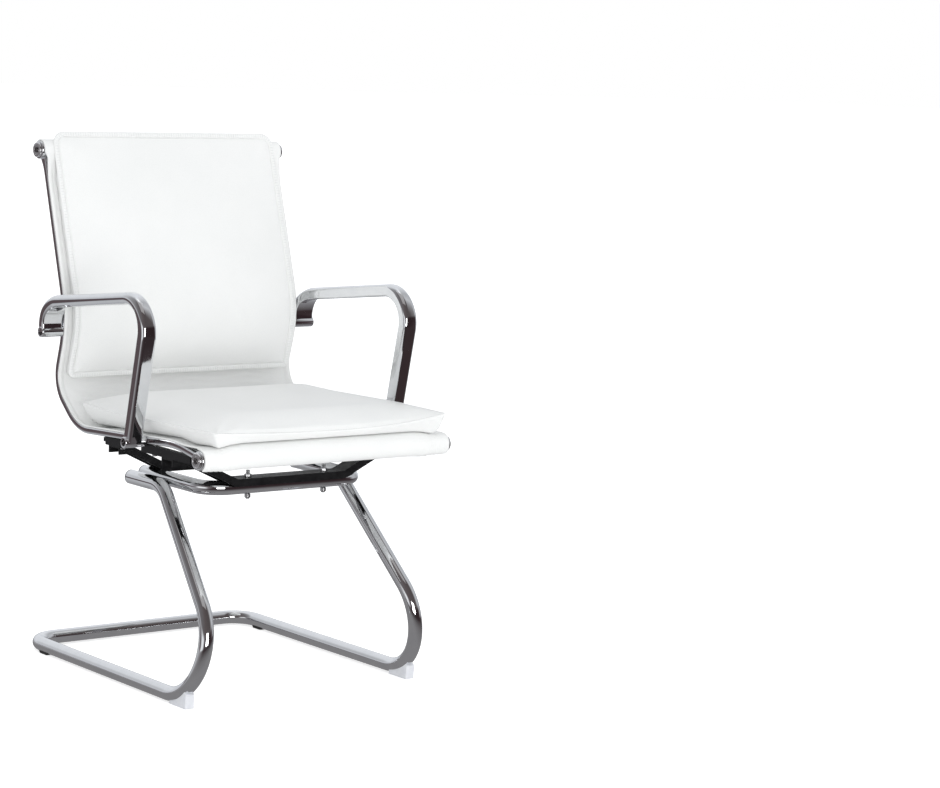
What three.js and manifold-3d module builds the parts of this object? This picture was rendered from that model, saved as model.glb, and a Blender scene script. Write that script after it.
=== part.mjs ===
// Sled base visitor chair with a leatherette sling, two loose pads and a chromed frame.
// Millimetres. X runs across the seat, Y to the rear, Z up from the floor. It is symmetric about X = 0.
import * as THREE from 'three';
import { mergeVertices } from 'three/addons/utils/BufferGeometryUtils.js';
import Module from 'manifold-3d';

const wasm = await Module();
wasm.setup();

// Clearances
const touchGap = 0.3;
const boreGap = 0.3;
const weldDistance = 0.0001;
const cutOverrun = 1;

// Width: the seat pad sets it, the rails stand under the pad's edges, and the rest is placed from the rails
const seatPadHalfWidth = 234;
const seatPadOverRail = 9;
const backPadOverRail = 5;
const armFromRail = 24;
const armBossLength = 42;
const runnerFromRail = 3;
const cradleFromRail = 68.5;
const studFromCradle = 78.8;
const channelTipFromRail = 4;
const frontChannelRiseFromRail = 37;
const frontChannelBendFromRail = 124;
const rearChannelRiseFromRail = 21;
const rearChannelBendFromRail = 92;

// Side rails: one bar each, bent from the top roll over the lumbar to the front roll
const railWidth = 18;
const railThickness = 12;
const railCornerRadius = 3;
const railLipWidth = 3;
const topRollY = 258;
const topRollZ = 903;
const lumbarY = 168;
const lumbarZ = 611.5;
const lumbarRadius = 182;
const rearBulgeY = 204;
const rearBulgeZ = 492.7;
const rearBulgeRadius = 60;
const seatRearY = 122;
const seatRearZ = 424.5;
const seatRearRadius = 100;
const seatHumpY = -205;
const seatHumpZ = 439.5;
const seatHumpRadius = 260;
const frontRollY = -290;
const frontRollZ = 424.5;
const eyeRadius = 16;
const eyeStandOut = 7.5;
const eyeTailLength = 34;

// Rolls: the cross tubes that spread the rails and carry the sling
const rollTubeRadius = 12.5;
const rollTubeWall = 1.8;
const rollPlugLength = 14;
const frontFoamRadius = 20.5;
const frontFoamEndRadius = 14;
const frontFoamTaper = 36;

// Caps and screws at the roll ends
const capRadius = 13.2;
const capHeight = 4.2;
const capBevel = 1.05;
const capRingRadius = 10.4;
const capDishRadius = 6.4;
const capDishDepth = 1.6;
const capScrewRadius = 3;
const capScrewHeadRadius = 4.8;
const capScrewHeadHeight = 2.4;
const capScrewGrip = 11;
const socketRadius = 2.1;
const socketDepth = 1.6;

// Sling
const slingThickness = 3;
const slingLift = 3;
const slingHemThickness = 2.6;
const slingTrim = 26;

// Armrests: bars of rounded section, with a boss at each end
const armWidth = 28.5;
const armThickness = 22;
const armSoftRadius = 9;
const armEdgeRadius = 4;
const armRadius = 53;
const armFrontY = -164.5;
const armFrontZ = 681;
const armBossFrontY = -110;
const armBossRearZ = 590;
const armBossBehindLine = 2;
const armRearBehindBoss = 4;
const armRearRise = 51.5;
const armRearRadius = 45;
const armWebThickness = 15;
const armBossRadius = 9.5;
const armScrewRadius = 2.5;
const armScrewHeadRadius = 5.8;
const armScrewHeadHeight = 5;
const armScrewDepth = 2.5;
const armScrewGrip = 12;
const armSocketRadius = 3.1;
const armSocketDepth = 3;

// Bent tubes of the base
const tubeRadius = 12.6;
const tubeWall = 2;
const runnerZ = 14.2;
const runnerRearY = 304.4;
const rearCornerRadius = 47;
const kneeY = -399;
const kneeRadius = 95;
const shoulderY = -70;
const shoulderRadius = 60;
const legEndY = 36;
const legEndZ = 348;
const cradleZ = 355;
const cradleFrontY = -174;
const cradleEndY = 32;
const cradleCornerRadius = 42;
const plugHeadHeight = 2.5;
const plugHeadChamfer = 1;
const plugLength = 9;

// Glides
const frontGlideWidth = 17;
const frontGlideInset = 1.5;
const frontGlideFrontY = -242;
const frontGlideLength = 51;
const frontGlideFrontHeight = 24;
const frontGlideTopHeight = 33;
const frontGlideRearHeight = 12;
const rearGlideY = 226;
const rearGlideLength = 30;
const rearGlideWidth = 16;
const rearGlideHeight = 8;
const rearGlideChamfer = 3;

// Black seat carrier: two bent channels over the cradle, with bars and plates between them and the rails
const channelWidth = 36;
const channelHeight = 13.2;
const channelWall = 3.2;
const channelBendRadius = 25;
const rearChannelY = 0;
const rearChannelLift = 4.2;
const barWidth = 12;
const barRearY = -93;
const barFrontY = -249;
const barBottomZ = 413;
const plateRearY = 27;
const plateLength = 56;
const plateStep = 6;
const plateOverlap = 2;
const plateBottomZ = 410.6;
const plateStepZ = 415.4;
const frameScrewRadius = 2.5;
const frameScrewHeadRadius = 4.5;
const frameScrewHeadHeight = 3;
const frameScrewGrip = 5;
const frameScrewFrontY = -128;
const frameScrewRearY = -23.6;

// Studs that clamp the carrier to the cradle tube
const studRadius = 3.5;
const studRise = 12;
const studDrop = 9;
const sleeveNutRadius = 5.2;
const sleeveNutHeight = 6.6;
const nutChamfer = 0.8;
const lockNutRadius = 6.4;
const lockNutHeight = 5;

// Back pad
const backPadTopRise = 33;
const backPadBottomZ = 507;
const backPadTopRadius = 16;
const backPadBottomRadius = 9;
const backPadFlangeLift = 20;
const backPadFlangeThickness = 5;
const backPadFlangeWidth = 9;
const backPadSeamDepth = 1.5;
const backPadCrown = 17;
const backPadDrawIn = 3;
const backPadRollRise = 18;
const backPadRollEase = 54;

// Seat pad
const seatPadSideBulge = 8;
const seatPadFrontY = -317;
const seatPadRearY = 124;
const seatPadSeamZ = 470;
const seatPadTopZ = 491;
const seatPadEarRadius = 10;
const seatPadDrawIn = 30;

// Counts and angles
const quarterTurn = Math.PI / 2;
const bendStep = Math.PI / 16;
const tubeSides = 14;
const boreSides = 8;
const roundSides = 20;
const smallSides = 10;
const capSides = 16;
const hexSides = 6;
const cornerSteps = 3;
const taperSteps = 4;
const padCornerSteps = 5;
const padSideParts = 9;

// Shares of a pad's half length at which its rings lie, and how its crown rises over them
const backPanelShares = [0.93, 0.7, 0.45, 0.25, 0.1];
const backRearShares = [0.3, 0.6, 0.93];
const backBoxingShares = [0.5, 1];
const backCrownFullShare = 0.625;
const backCrownPower = 0.8;
const seatTopShares = [0.93, 0.65, 0.4, 0.22, 0.1, 0.035];
const seatUnderShares = [0.24, 0.45, 0.7, 0.93];
const seatCrownFullShare = 0.455;
const seatCrownPower = 0.6;
const ringCornerShare = 0.5;

// Derived places
const railInnerX = seatPadHalfWidth - seatPadOverRail;
const railOuterX = railInnerX + railWidth;
const railCentreX = railInnerX + railWidth / 2;
const eyeFaceX = railOuterX + eyeStandOut;
const backPadHalfWidth = railInnerX + backPadOverRail;
const armCentreX = railOuterX + armFromRail;
const armBossEndX = railOuterX + armBossLength;
const runnerX = railInnerX + runnerFromRail;
const cradleArmX = railInnerX - cradleFromRail;
const studX = cradleArmX - studFromCradle;
const channelTipX = railCentreX + channelTipFromRail;
const frontChannelRiseX = railCentreX - frontChannelRiseFromRail;
const frontChannelBendX = railCentreX - frontChannelBendFromRail;
const rearChannelRiseX = railCentreX - rearChannelRiseFromRail;
const rearChannelBendX = railCentreX - rearChannelBendFromRail;
const weldSpan = 2 * tubeRadius + touchGap;
const legTopX = cradleArmX + Math.sqrt(weldSpan ** 2 - (cradleZ - legEndZ) ** 2);
const frontChannelTopZ = cradleZ + tubeRadius + touchGap + channelWall;
const rearChannelTopZ = frontChannelTopZ + rearChannelLift;
const studBottomZ = cradleZ - tubeRadius - studDrop;
const rollHalfLength = railInnerX - touchGap;
const frontSleeveRadius = frontFoamRadius + touchGap + slingHemThickness;
const frontSleeveEndRadius = frontFoamEndRadius + touchGap + slingHemThickness;
const topSleeveRadius = rollTubeRadius + touchGap + slingHemThickness;
const capBoreRadius = capScrewRadius + boreGap;

// Sides as seen from the front of the chair
const sides = [['left', -1], ['right', 1]];

// Materials
const chrome = { color: 0xc9ccd0, roughness: 0.08, metalness: 1 };
const zinc = { color: 0xb4b6b8, roughness: 0.35, metalness: 0.9 };
const blackSteel = { color: 0x141415, roughness: 0.5, metalness: 0.3 };
const leatherette = { color: 0xf0f2f0, roughness: 0.55, metalness: 0 };
const foam = { color: 0xe4dfc8, roughness: 0.95, metalness: 0 };
const clearPlastic = { color: 0xdcdfe6, roughness: 0.4, metalness: 0 };
const blackPlastic = { color: 0x161616, roughness: 0.6, metalness: 0 };
const greyPlastic = { color: 0x8c8f93, roughness: 0.4, metalness: 0.2 };

// A route of straight stretches whose corners are rounded by true arcs.
// Its stations are the arc steps and the two ends, so a sweep spends no step on a straight.
class Route extends THREE.Curve {
  constructor(corners) {
    super();
    this.stations = [];
    corners.forEach((corner, index) => {
      const before = corners[index - 1];
      const after = corners[index + 1];
      if (before && after) {
        this.addBend(before.at, corner, after.at);
        return;
      }
      const tangent = before ? corner.at.clone().sub(before.at) : after.at.clone().sub(corner.at);
      this.stations.push({ point: corner.at.clone(), tangent: tangent.normalize() });
    });
  }

  addBend(before, corner, after) {
    const inward = corner.at.clone().sub(before).normalize();
    const outward = after.clone().sub(corner.at).normalize();
    const turn = inward.angleTo(outward);
    const start = corner.at.clone().addScaledVector(inward, -corner.radius * Math.tan(turn / 2));
    const side = outward.clone().addScaledVector(inward, -inward.dot(outward)).normalize();
    const centre = start.clone().addScaledVector(side, corner.radius);
    const steps = Math.max(2, Math.round(turn / bendStep));
    for (let step = 0; step <= steps; step += 1) {
      const angle = (turn * step) / steps;
      const point = centre.clone().addScaledVector(side, -corner.radius * Math.cos(angle));
      point.addScaledVector(inward, corner.radius * Math.sin(angle));
      const tangent = inward.clone().multiplyScalar(Math.cos(angle));
      tangent.addScaledVector(side, Math.sin(angle));
      this.stations.push({ point, tangent });
    }
  }

  station(share) {
    return this.stations[Math.round(share * (this.stations.length - 1))];
  }

  getPointAt(share, target = new THREE.Vector3()) {
    return target.copy(this.station(share).point);
  }

  getTangentAt(share, target = new THREE.Vector3()) {
    return target.copy(this.station(share).tangent);
  }
}

function corner(x, y, z, radius = 0) {
  return { at: new THREE.Vector3(x, y, z), radius };
}

function sweep(shape, route) {
  return new THREE.ExtrudeGeometry(shape, { steps: route.stations.length - 1, extrudePath: route });
}

// Closed outlines
function circlePoints(radius, sides) {
  const points = [];
  for (let index = 0; index < sides; index += 1) {
    const angle = (2 * Math.PI * index) / sides;
    points.push(new THREE.Vector2(radius * Math.cos(angle), radius * Math.sin(angle)));
  }
  return points;
}

// The four corner radii go round from the corner at low x and low y, anticlockwise.
function roundedRectanglePoints(width, height, radii, steps = cornerSteps) {
  const points = [];
  const signs = [[-1, -1], [1, -1], [1, 1], [-1, 1]];
  signs.forEach(([signX, signY], index) => {
    const radius = radii[index];
    const centreX = signX * (width / 2 - radius);
    const centreY = signY * (height / 2 - radius);
    const start = Math.PI + index * quarterTurn;
    for (let step = 0; step <= steps; step += 1) {
      const angle = start + (quarterTurn * step) / steps;
      points.push(new THREE.Vector2(centreX + radius * Math.cos(angle), centreY + radius * Math.sin(angle)));
    }
  });
  return points;
}

function tubeShape(radius, wall) {
  const shape = new THREE.Shape(circlePoints(radius, tubeSides));
  shape.holes.push(new THREE.Path(circlePoints(radius - wall, boreSides).reverse()));
  return shape;
}

// An outline drawn in Y and Z, extruded along X from one face to the other
const acrossX = new THREE.Matrix4().makeBasis(
  new THREE.Vector3(0, 1, 0), new THREE.Vector3(0, 0, 1), new THREE.Vector3(1, 0, 0));

function extrudeX(points, fromX, toX) {
  const shape = new THREE.Shape(points);
  const geometry = new THREE.ExtrudeGeometry(shape, { depth: toX - fromX, bevelEnabled: false });
  return geometry.applyMatrix4(acrossX).translate(fromX, 0, 0);
}

// Turned pieces: each profile is a list of [radius, height] pairs from one end to the other
function turned(profile, sides) {
  const points = profile.map(([radius, height]) => new THREE.Vector2(radius, height));
  return new THREE.LatheGeometry(points, sides);
}

function turnedX(profile, sides, y, z) {
  return turned(profile, sides).rotateZ(-quarterTurn).translate(0, y, z);
}

function turnedZ(profile, sides, x, y) {
  return turned(profile, sides).rotateX(quarterTurn).translate(x, y, 0);
}

function rodX(radius, fromX, toX, y, z, sides = roundSides) {
  return turnedX([[0, fromX], [radius, fromX], [radius, toX], [0, toX]], sides, y, z);
}

function rodZ(radius, fromZ, toZ, x, y, sides = smallSides) {
  return turnedZ([[0, fromZ], [radius, fromZ], [radius, toZ], [0, toZ]], sides, x, y);
}

// A skin through rings of equally many points, closed by a fan at each end
function loft(rings) {
  const count = rings[0].length;
  const positions = [];
  const index = [];
  rings.forEach((ring) => ring.forEach((point) => positions.push(point.x, point.y, point.z)));
  for (let row = 0; row < rings.length - 1; row += 1) {
    for (let column = 0; column < count; column += 1) {
      const next = (column + 1) % count;
      const a = row * count + column;
      const b = row * count + next;
      index.push(a, b, b + count, a, b + count, a + count);
    }
  }
  [0, rings.length - 1].forEach((row) => {
    const centre = new THREE.Vector3();
    rings[row].forEach((point) => centre.addScaledVector(point, 1 / count));
    const hub = positions.length / 3;
    positions.push(centre.x, centre.y, centre.z);
    for (let column = 0; column < count; column += 1) {
      const a = row * count + column;
      const b = row * count + (column + 1) % count;
      index.push(...(row === 0 ? [hub, b, a] : [hub, a, b]));
    }
  });
  const geometry = new THREE.BufferGeometry();
  geometry.setAttribute('position', new THREE.Float32BufferAttribute(positions, 3));
  geometry.setIndex(index);
  return geometry;
}

// Solids for cuts and joins
function signedVolume(geometry) {
  const position = geometry.attributes.position;
  const index = geometry.index.array;
  const corners = [new THREE.Vector3(), new THREE.Vector3(), new THREE.Vector3()];
  let sum = 0;
  for (let face = 0; face < index.length; face += 3) {
    corners.forEach((vertex, offset) => vertex.fromBufferAttribute(position, index[face + offset]));
    sum += corners[0].dot(corners[1].cross(corners[2]));
  }
  return sum;
}

function solid(geometry) {
  const bare = geometry.clone();
  bare.deleteAttribute('normal');
  bare.deleteAttribute('uv');
  const merged = mergeVertices(bare, weldDistance);
  const triVerts = Uint32Array.from(merged.index.array);
  if (signedVolume(merged) < 0) {
    triVerts.reverse();
  }
  const vertProperties = merged.attributes.position.array;
  return new wasm.Manifold(new wasm.Mesh({ numProp: 3, vertProperties, triVerts }));
}

function surface(body) {
  const mesh = body.getMesh();
  const geometry = new THREE.BufferGeometry();
  geometry.setAttribute('position', new THREE.Float32BufferAttribute(mesh.vertProperties, 3));
  geometry.setIndex(Array.from(mesh.triVerts));
  geometry.computeVertexNormals();
  return geometry;
}

// The rails' line, seen from the side, and what follows it
function railCorners(x, trim = 0) {
  const corners = [
    corner(x, topRollY, topRollZ),
    corner(x, lumbarY, lumbarZ, lumbarRadius),
    corner(x, rearBulgeY, rearBulgeZ, rearBulgeRadius),
    corner(x, seatRearY, seatRearZ, seatRearRadius),
    corner(x, seatHumpY, seatHumpZ, seatHumpRadius),
    corner(x, frontRollY, frontRollZ),
  ];
  const shorten = (end, next) => {
    const run = next.at.clone().sub(end.at).normalize();
    end.at.addScaledVector(run, trim);
  };
  shorten(corners[0], corners[1]);
  shorten(corners[5], corners[4]);
  return corners;
}

const railLine = new Route(railCorners(0)).stations;

// Outline of a strip that follows the rails' line, between two heights over it on the sitter's side
function stripOutline(stations, low, high) {
  const lifted = (station, lift) => new THREE.Vector2(
    station.point.y + station.tangent.z * lift, station.point.z - station.tangent.y * lift);
  const upper = stations.map((station) => lifted(station, high));
  const lower = stations.map((station) => lifted(station, low));
  return [...upper, ...lower.reverse()];
}

// Height of the rails' centre line over a point of the seat
function seatLineZ(y) {
  const seat = railLine.filter((station) => station.point.z < rearBulgeZ);
  for (let index = 1; index < seat.length; index += 1) {
    const rear = seat[index - 1].point;
    const front = seat[index].point;
    if (y <= rear.y && y >= front.y) {
      return rear.z + ((front.z - rear.z) * (rear.y - y)) / (rear.y - front.y);
    }
  }
  return y > 0 ? seat[0].point.z : frontRollZ;
}

// Place and heading of the rails' line at a height on the back
function backLineAt(z) {
  const back = railLine.filter((station) => station.point.z > seatRearZ + seatRearRadius / 2);
  let index = 1;
  while (index < back.length - 1 && back[index].point.z > z) {
    index += 1;
  }
  const above = back[index - 1];
  const below = back[index];
  const share = (above.point.z - z) / (above.point.z - below.point.z);
  const point = above.point.clone().lerp(below.point, share);
  const held = Math.min(Math.max(share, 0), 1);
  const tangent = above.tangent.clone().lerp(below.tangent, held).normalize();
  return { point, tangent };
}

// The arms' bosses lie a little behind the rails' line, so that their screws pass behind the sling
const armBossFrontZ = seatLineZ(armBossFrontY) - armBossBehindLine;
const armBossRearY = backLineAt(armBossRearZ).point.y + armBossBehindLine;
const armRearY = armBossRearY + armRearBehindBoss;
const armRearZ = armBossRearZ + armRearRise;
const armBosses = [[armBossFrontY, armBossFrontZ], [armBossRearY, armBossRearZ]];

function sideRail(sign) {
  const radii = [railCornerRadius, railCornerRadius, railCornerRadius, railCornerRadius];
  const section = new THREE.Shape(roundedRectanglePoints(railWidth, railThickness, radii));
  let body = solid(sweep(section, new Route(railCorners(sign * railCentreX))));
  const low = Math.min(sign * railInnerX, sign * eyeFaceX);
  const high = Math.max(sign * railInnerX, sign * eyeFaceX);
  const rolls = [[topRollY, topRollZ], [frontRollY, frontRollZ]];
  rolls.forEach(([y, z]) => {
    body = body.add(solid(rodX(eyeRadius, low, high, y, z)));
  });
  body = body.add(solid(topTail(sign)));
  rolls.forEach(([y, z]) => {
    body = body.subtract(solid(rodX(capBoreRadius, low - cutOverrun, high + cutOverrun, y, z, smallSides)));
  });
  armBosses.forEach(([y, z]) => {
    const bore = rodX(armScrewRadius + boreGap, low - cutOverrun, high + cutOverrun, y, z, smallSides);
    body = body.subtract(solid(bore));
  });
  body = body.subtract(solid(slingRebate(sign)));
  frameScrewPlaces().forEach(([y]) => {
    const top = seatLineZ(y);
    const hole = rodZ(frameScrewRadius + boreGap, top - railThickness, top, sign * railCentreX, y);
    body = body.subtract(solid(hole));
  });
  return surface(body);
}

// The rear edge of each rail fairs into its top eye
function topTail(sign) {
  const low = Math.min(sign * railInnerX, sign * railOuterX);
  const line = backLineAt(topRollZ - eyeTailLength);
  const rear = new THREE.Vector2(-line.tangent.z, line.tangent.y);
  const foot = new THREE.Vector2(line.point.y, line.point.z);
  const start = foot.clone().addScaledVector(rear, railThickness / 2 - railCornerRadius);
  const rim = new THREE.Vector2(topRollY, topRollZ).addScaledVector(rear, eyeRadius - touchGap);
  const heart = new THREE.Vector2(topRollY, topRollZ);
  const inset = railCornerRadius / 2;
  return extrudeX([foot, start, rim, heart], low + inset, low + railWidth - inset);
}

// Rebate in the rail's front face: the sling's edge lies in it, against the lip along the rail's outer side
function slingRebate(sign) {
  const stations = new Route(railCorners(0, slingTrim - touchGap)).stations;
  const low = slingLift - slingThickness / 2 - touchGap;
  const ends = [sign * (railInnerX - cutOverrun), sign * (railOuterX - railLipWidth)];
  return extrudeX(stripOutline(stations, low, railThickness), Math.min(...ends), Math.max(...ends));
}

// Radius of the front roll at a distance from the middle, for its foam or for the cover over it
function frontRollProfile(middle, end) {
  const taperStart = rollHalfLength - frontFoamTaper;
  const half = [];
  for (let step = 0; step <= taperSteps; step += 1) {
    const share = step / taperSteps;
    const ease = (1 - Math.cos(Math.PI * share)) / 2;
    half.push([middle + (end - middle) * ease, taperStart + frontFoamTaper * share]);
  }
  const mirrored = half.map(([radius, x]) => [radius, -x]).reverse();
  return [...mirrored, ...half];
}

function closeEnds(profile, reach) {
  const end = profile[0][0];
  return [[0, -reach], [end, -reach], ...profile.slice(1, -1), [end, reach], [0, reach]];
}

function sling() {
  const low = slingLift - slingThickness / 2;
  const high = slingLift + slingThickness / 2;
  const inner = stripOutline(railLine, low, high);
  const outer = stripOutline(new Route(railCorners(0, slingTrim)).stations, low, high);
  const wide = railOuterX - railLipWidth - touchGap;
  const frontCover = frontRollProfile(frontSleeveRadius, frontSleeveEndRadius);
  const frontSpace = frontRollProfile(frontFoamRadius + touchGap, frontFoamEndRadius + touchGap);
  let body = solid(extrudeX(inner, -rollHalfLength, rollHalfLength));
  body = body.add(solid(extrudeX(outer, -wide, wide)));
  body = body.add(solid(turnedX(closeEnds(frontCover, rollHalfLength), roundSides, frontRollY, frontRollZ)));
  body = body.add(solid(rodX(topSleeveRadius, -rollHalfLength, rollHalfLength, topRollY, topRollZ)));
  const reach = rollHalfLength + cutOverrun;
  body = body.subtract(solid(turnedX(closeEnds(frontSpace, reach), roundSides, frontRollY, frontRollZ)));
  body = body.subtract(solid(rodX(rollTubeRadius + touchGap, -reach, reach, topRollY, topRollZ)));
  return surface(body);
}

function rollTube(y, z) {
  const inner = rollTubeRadius - rollTubeWall;
  const end = rollHalfLength;
  const plug = rollHalfLength - rollPlugLength;
  const profile = [[capBoreRadius, -end], [rollTubeRadius, -end], [rollTubeRadius, end], [capBoreRadius, end],
    [capBoreRadius, plug], [inner, plug], [inner, -plug], [capBoreRadius, -plug], [capBoreRadius, -end]];
  return turnedX(profile, tubeSides, y, z);
}

function frontRollFoam() {
  const inner = rollTubeRadius + touchGap;
  const outer = frontRollProfile(frontFoamRadius, frontFoamEndRadius);
  const profile = [[inner, -rollHalfLength], ...outer, [inner, rollHalfLength], [inner, -rollHalfLength]];
  return turnedX(profile, roundSides, frontRollY, frontRollZ);
}

// Ringed cap on the outer face of a rail's eye, dished for its screw
function rollCap(sign, y, z) {
  const base = eyeFaceX + touchGap;
  const face = base + capHeight;
  const profile = [[capBoreRadius, base], [capRadius, base], [capRadius, face - 2 * capBevel],
    [capRadius - capBevel, face - capBevel], [capRingRadius, face - 2 * capBevel],
    [capRingRadius - 2 * capBevel, face], [capDishRadius, face],
    [capDishRadius - capBevel / 2, face - capDishDepth],
    [capBoreRadius, face - capDishDepth], [capBoreRadius, base]];
  return turnedX(profile.map(([radius, x]) => [radius, sign * x]), capSides, y, z);
}

function hexCut(radius, fromX, toX, y, z) {
  return solid(rodX(radius, Math.min(fromX, toX), Math.max(fromX, toX), y, z, hexSides));
}

// Socket screw along X: its head seats at seatX and its shank runs inwards from there
function socketScrew(sign, y, z, seatX, size) {
  const crown = seatX + size.headHeight;
  const round = size.headHeight / 3;
  const tip = seatX - size.shank;
  const profile = [[0, tip], [size.radius - round / 2, tip], [size.radius, tip + round],
    [size.radius, seatX], [size.headRadius, seatX], [size.headRadius, crown - round],
    [size.headRadius - round, crown], [0, crown]];
  const body = solid(turnedX(profile.map(([radius, x]) => [radius, sign * x]), smallSides, y, z));
  const cut = hexCut(size.socket, sign * (crown - size.socketDepth), sign * (crown + cutOverrun), y, z);
  return surface(body.subtract(cut));
}

function capScrew(sign, y, z) {
  const seat = eyeFaceX + touchGap + capHeight - capDishDepth + touchGap;
  return socketScrew(sign, y, z, seat, {
    radius: capScrewRadius, headRadius: capScrewHeadRadius, headHeight: capScrewHeadHeight,
    shank: seat - rollHalfLength + capScrewGrip, socket: socketRadius, socketDepth,
  });
}

// Armrest bar: upright, front bend, rising top, rear bend and a web that widens to the rear boss
function armRings(sign) {
  const route = new Route([
    corner(0, armBossFrontY, armBossFrontZ),
    corner(0, armFrontY, armFrontZ, armRadius),
    corner(0, armRearY, armRearZ, armRearRadius),
    corner(0, armBossRearY, armBossRearZ),
  ]);
  const bossSpan = armBossEndX - railOuterX - touchGap;
  const bossCentre = (armBossEndX + railOuterX + touchGap) / 2;
  const webStart = armRearY - armRearRadius;
  return route.stations.map(({ point, tangent }) => {
    const reached = THREE.MathUtils.smoothstep(point.y, webStart, armBossRearY);
    const width = THREE.MathUtils.lerp(armWidth, bossSpan - 2 * touchGap, reached);
    const thickness = THREE.MathUtils.lerp(armThickness, armWebThickness, reached);
    const centreX = THREE.MathUtils.lerp(armCentreX, bossCentre, reached);
    const radii = [armSoftRadius, armEdgeRadius, armSoftRadius, armEdgeRadius]
      .map((radius) => THREE.MathUtils.lerp(radius, armEdgeRadius, reached));
    const section = roundedRectanglePoints(width, thickness, radii);
    return section.map((offset) => new THREE.Vector3(
      sign * (centreX - offset.x), point.y - tangent.z * offset.y, point.z + tangent.y * offset.y));
  });
}

function armrest(sign) {
  let body = solid(loft(armRings(sign)));
  const ends = [sign * (railOuterX + touchGap), sign * armBossEndX];
  const low = Math.min(...ends);
  const high = Math.max(...ends);
  const headSeat = armBossEndX - armScrewDepth - armScrewHeadHeight - touchGap;
  armBosses.forEach(([y, z]) => {
    body = body.add(solid(rodX(armBossRadius, low, high, y, z)));
  });
  armBosses.forEach(([y, z]) => {
    const bore = rodX(armScrewRadius + boreGap, low - cutOverrun, high + cutOverrun, y, z, smallSides);
    const deep = [sign * headSeat, sign * (armBossEndX + cutOverrun)];
    const recess = rodX(armScrewHeadRadius + boreGap, Math.min(...deep), Math.max(...deep), y, z, roundSides);
    body = body.subtract(solid(bore)).subtract(solid(recess));
  });
  return surface(body);
}

function armScrew(sign, y, z) {
  const seat = armBossEndX - armScrewDepth - armScrewHeadHeight;
  return socketScrew(sign, y, z, seat, {
    radius: armScrewRadius, headRadius: armScrewHeadRadius, headHeight: armScrewHeadHeight,
    shank: seat - railOuterX + armScrewGrip, socket: armSocketRadius, socketDepth: armSocketDepth,
  });
}

// Sled: one tube from the left leg's end, down both legs and round the rear of the floor loop
function sledRoute() {
  const half = (sign) => [
    corner(sign * legTopX, legEndY, legEndZ),
    corner(sign * legTopX, shoulderY, legEndZ, shoulderRadius),
    corner(sign * runnerX, kneeY, runnerZ, kneeRadius),
    corner(sign * runnerX, runnerRearY, runnerZ, rearCornerRadius),
  ];
  return new Route([...half(-1), ...half(1).reverse()]);
}

function cradleRoute() {
  return new Route([
    corner(-cradleArmX, cradleEndY, cradleZ),
    corner(-cradleArmX, cradleFrontY, cradleZ, cradleCornerRadius),
    corner(cradleArmX, cradleFrontY, cradleZ, cradleCornerRadius),
    corner(cradleArmX, cradleEndY, cradleZ),
  ]);
}

function studPlaces() {
  return [
    ['left', -studX, cradleFrontY, frontChannelTopZ],
    ['right', studX, cradleFrontY, frontChannelTopZ],
  ];
}

function drillStuds(body) {
  return studPlaces().reduce((drilled, [, x, y, topZ]) => {
    const hole = rodZ(studRadius + boreGap, studBottomZ - cutOverrun, topZ + studRise, x, y);
    return drilled.subtract(solid(hole));
  }, body);
}

function cradleTube() {
  return surface(drillStuds(solid(sweep(tubeShape(tubeRadius, tubeWall), cradleRoute()))));
}

// Plug pressed into the rear end of a tube at leg or cradle
function tubePlug(x, endY, z) {
  const spigot = (tubeRadius - tubeWall) * Math.cos(Math.PI / boreSides) - touchGap;
  const head = endY + touchGap + plugHeadHeight;
  const profile = [[0, endY - plugLength], [spigot, endY - plugLength], [spigot, endY + touchGap],
    [tubeRadius, endY + touchGap], [tubeRadius, head - plugHeadChamfer],
    [tubeRadius - plugHeadChamfer, head], [0, head]];
  return turned(profile, tubeSides).translate(x, 0, z);
}

// Room round a bent tube, for what is cut to fit it
function spaceRound(route) {
  return solid(sweep(new THREE.Shape(circlePoints(tubeRadius + touchGap, tubeSides)), route));
}

// Glides are blocks cut to the tube that they carry
function frontGlide(sign, tubeSpace) {
  const rearY = frontGlideFrontY + frontGlideLength;
  const rise = frontGlideTopHeight - frontGlideFrontHeight;
  const outline = [
    new THREE.Vector2(frontGlideFrontY, 0), new THREE.Vector2(rearY, 0),
    new THREE.Vector2(rearY, frontGlideRearHeight),
    new THREE.Vector2(frontGlideFrontY + rise, frontGlideTopHeight),
    new THREE.Vector2(frontGlideFrontY - frontGlideInset, frontGlideFrontHeight),
  ];
  const centre = sign * (runnerX - frontGlideInset);
  const block = extrudeX(outline, centre - frontGlideWidth / 2, centre + frontGlideWidth / 2);
  return surface(solid(block).subtract(tubeSpace));
}

function rearGlide(sign, tubeSpace) {
  const rearY = rearGlideY + rearGlideLength;
  const outline = [
    new THREE.Vector2(rearGlideY + rearGlideChamfer, 0), new THREE.Vector2(rearY - rearGlideChamfer, 0),
    new THREE.Vector2(rearY, rearGlideChamfer), new THREE.Vector2(rearY, rearGlideHeight),
    new THREE.Vector2(rearGlideY, rearGlideHeight), new THREE.Vector2(rearGlideY, rearGlideChamfer),
  ];
  const centre = sign * runnerX;
  const block = extrudeX(outline, centre - rearGlideWidth / 2, centre + rearGlideWidth / 2);
  return surface(solid(block).subtract(tubeSpace));
}

// An outline drawn in X and Z, extruded along Y from one face to the other
function extrudeY(points, fromY, toY) {
  const shape = new THREE.Shape(points);
  const geometry = new THREE.ExtrudeGeometry(shape, { depth: toY - fromY, bevelEnabled: false });
  return geometry.rotateX(quarterTurn).translate(0, toY, 0);
}

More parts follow.
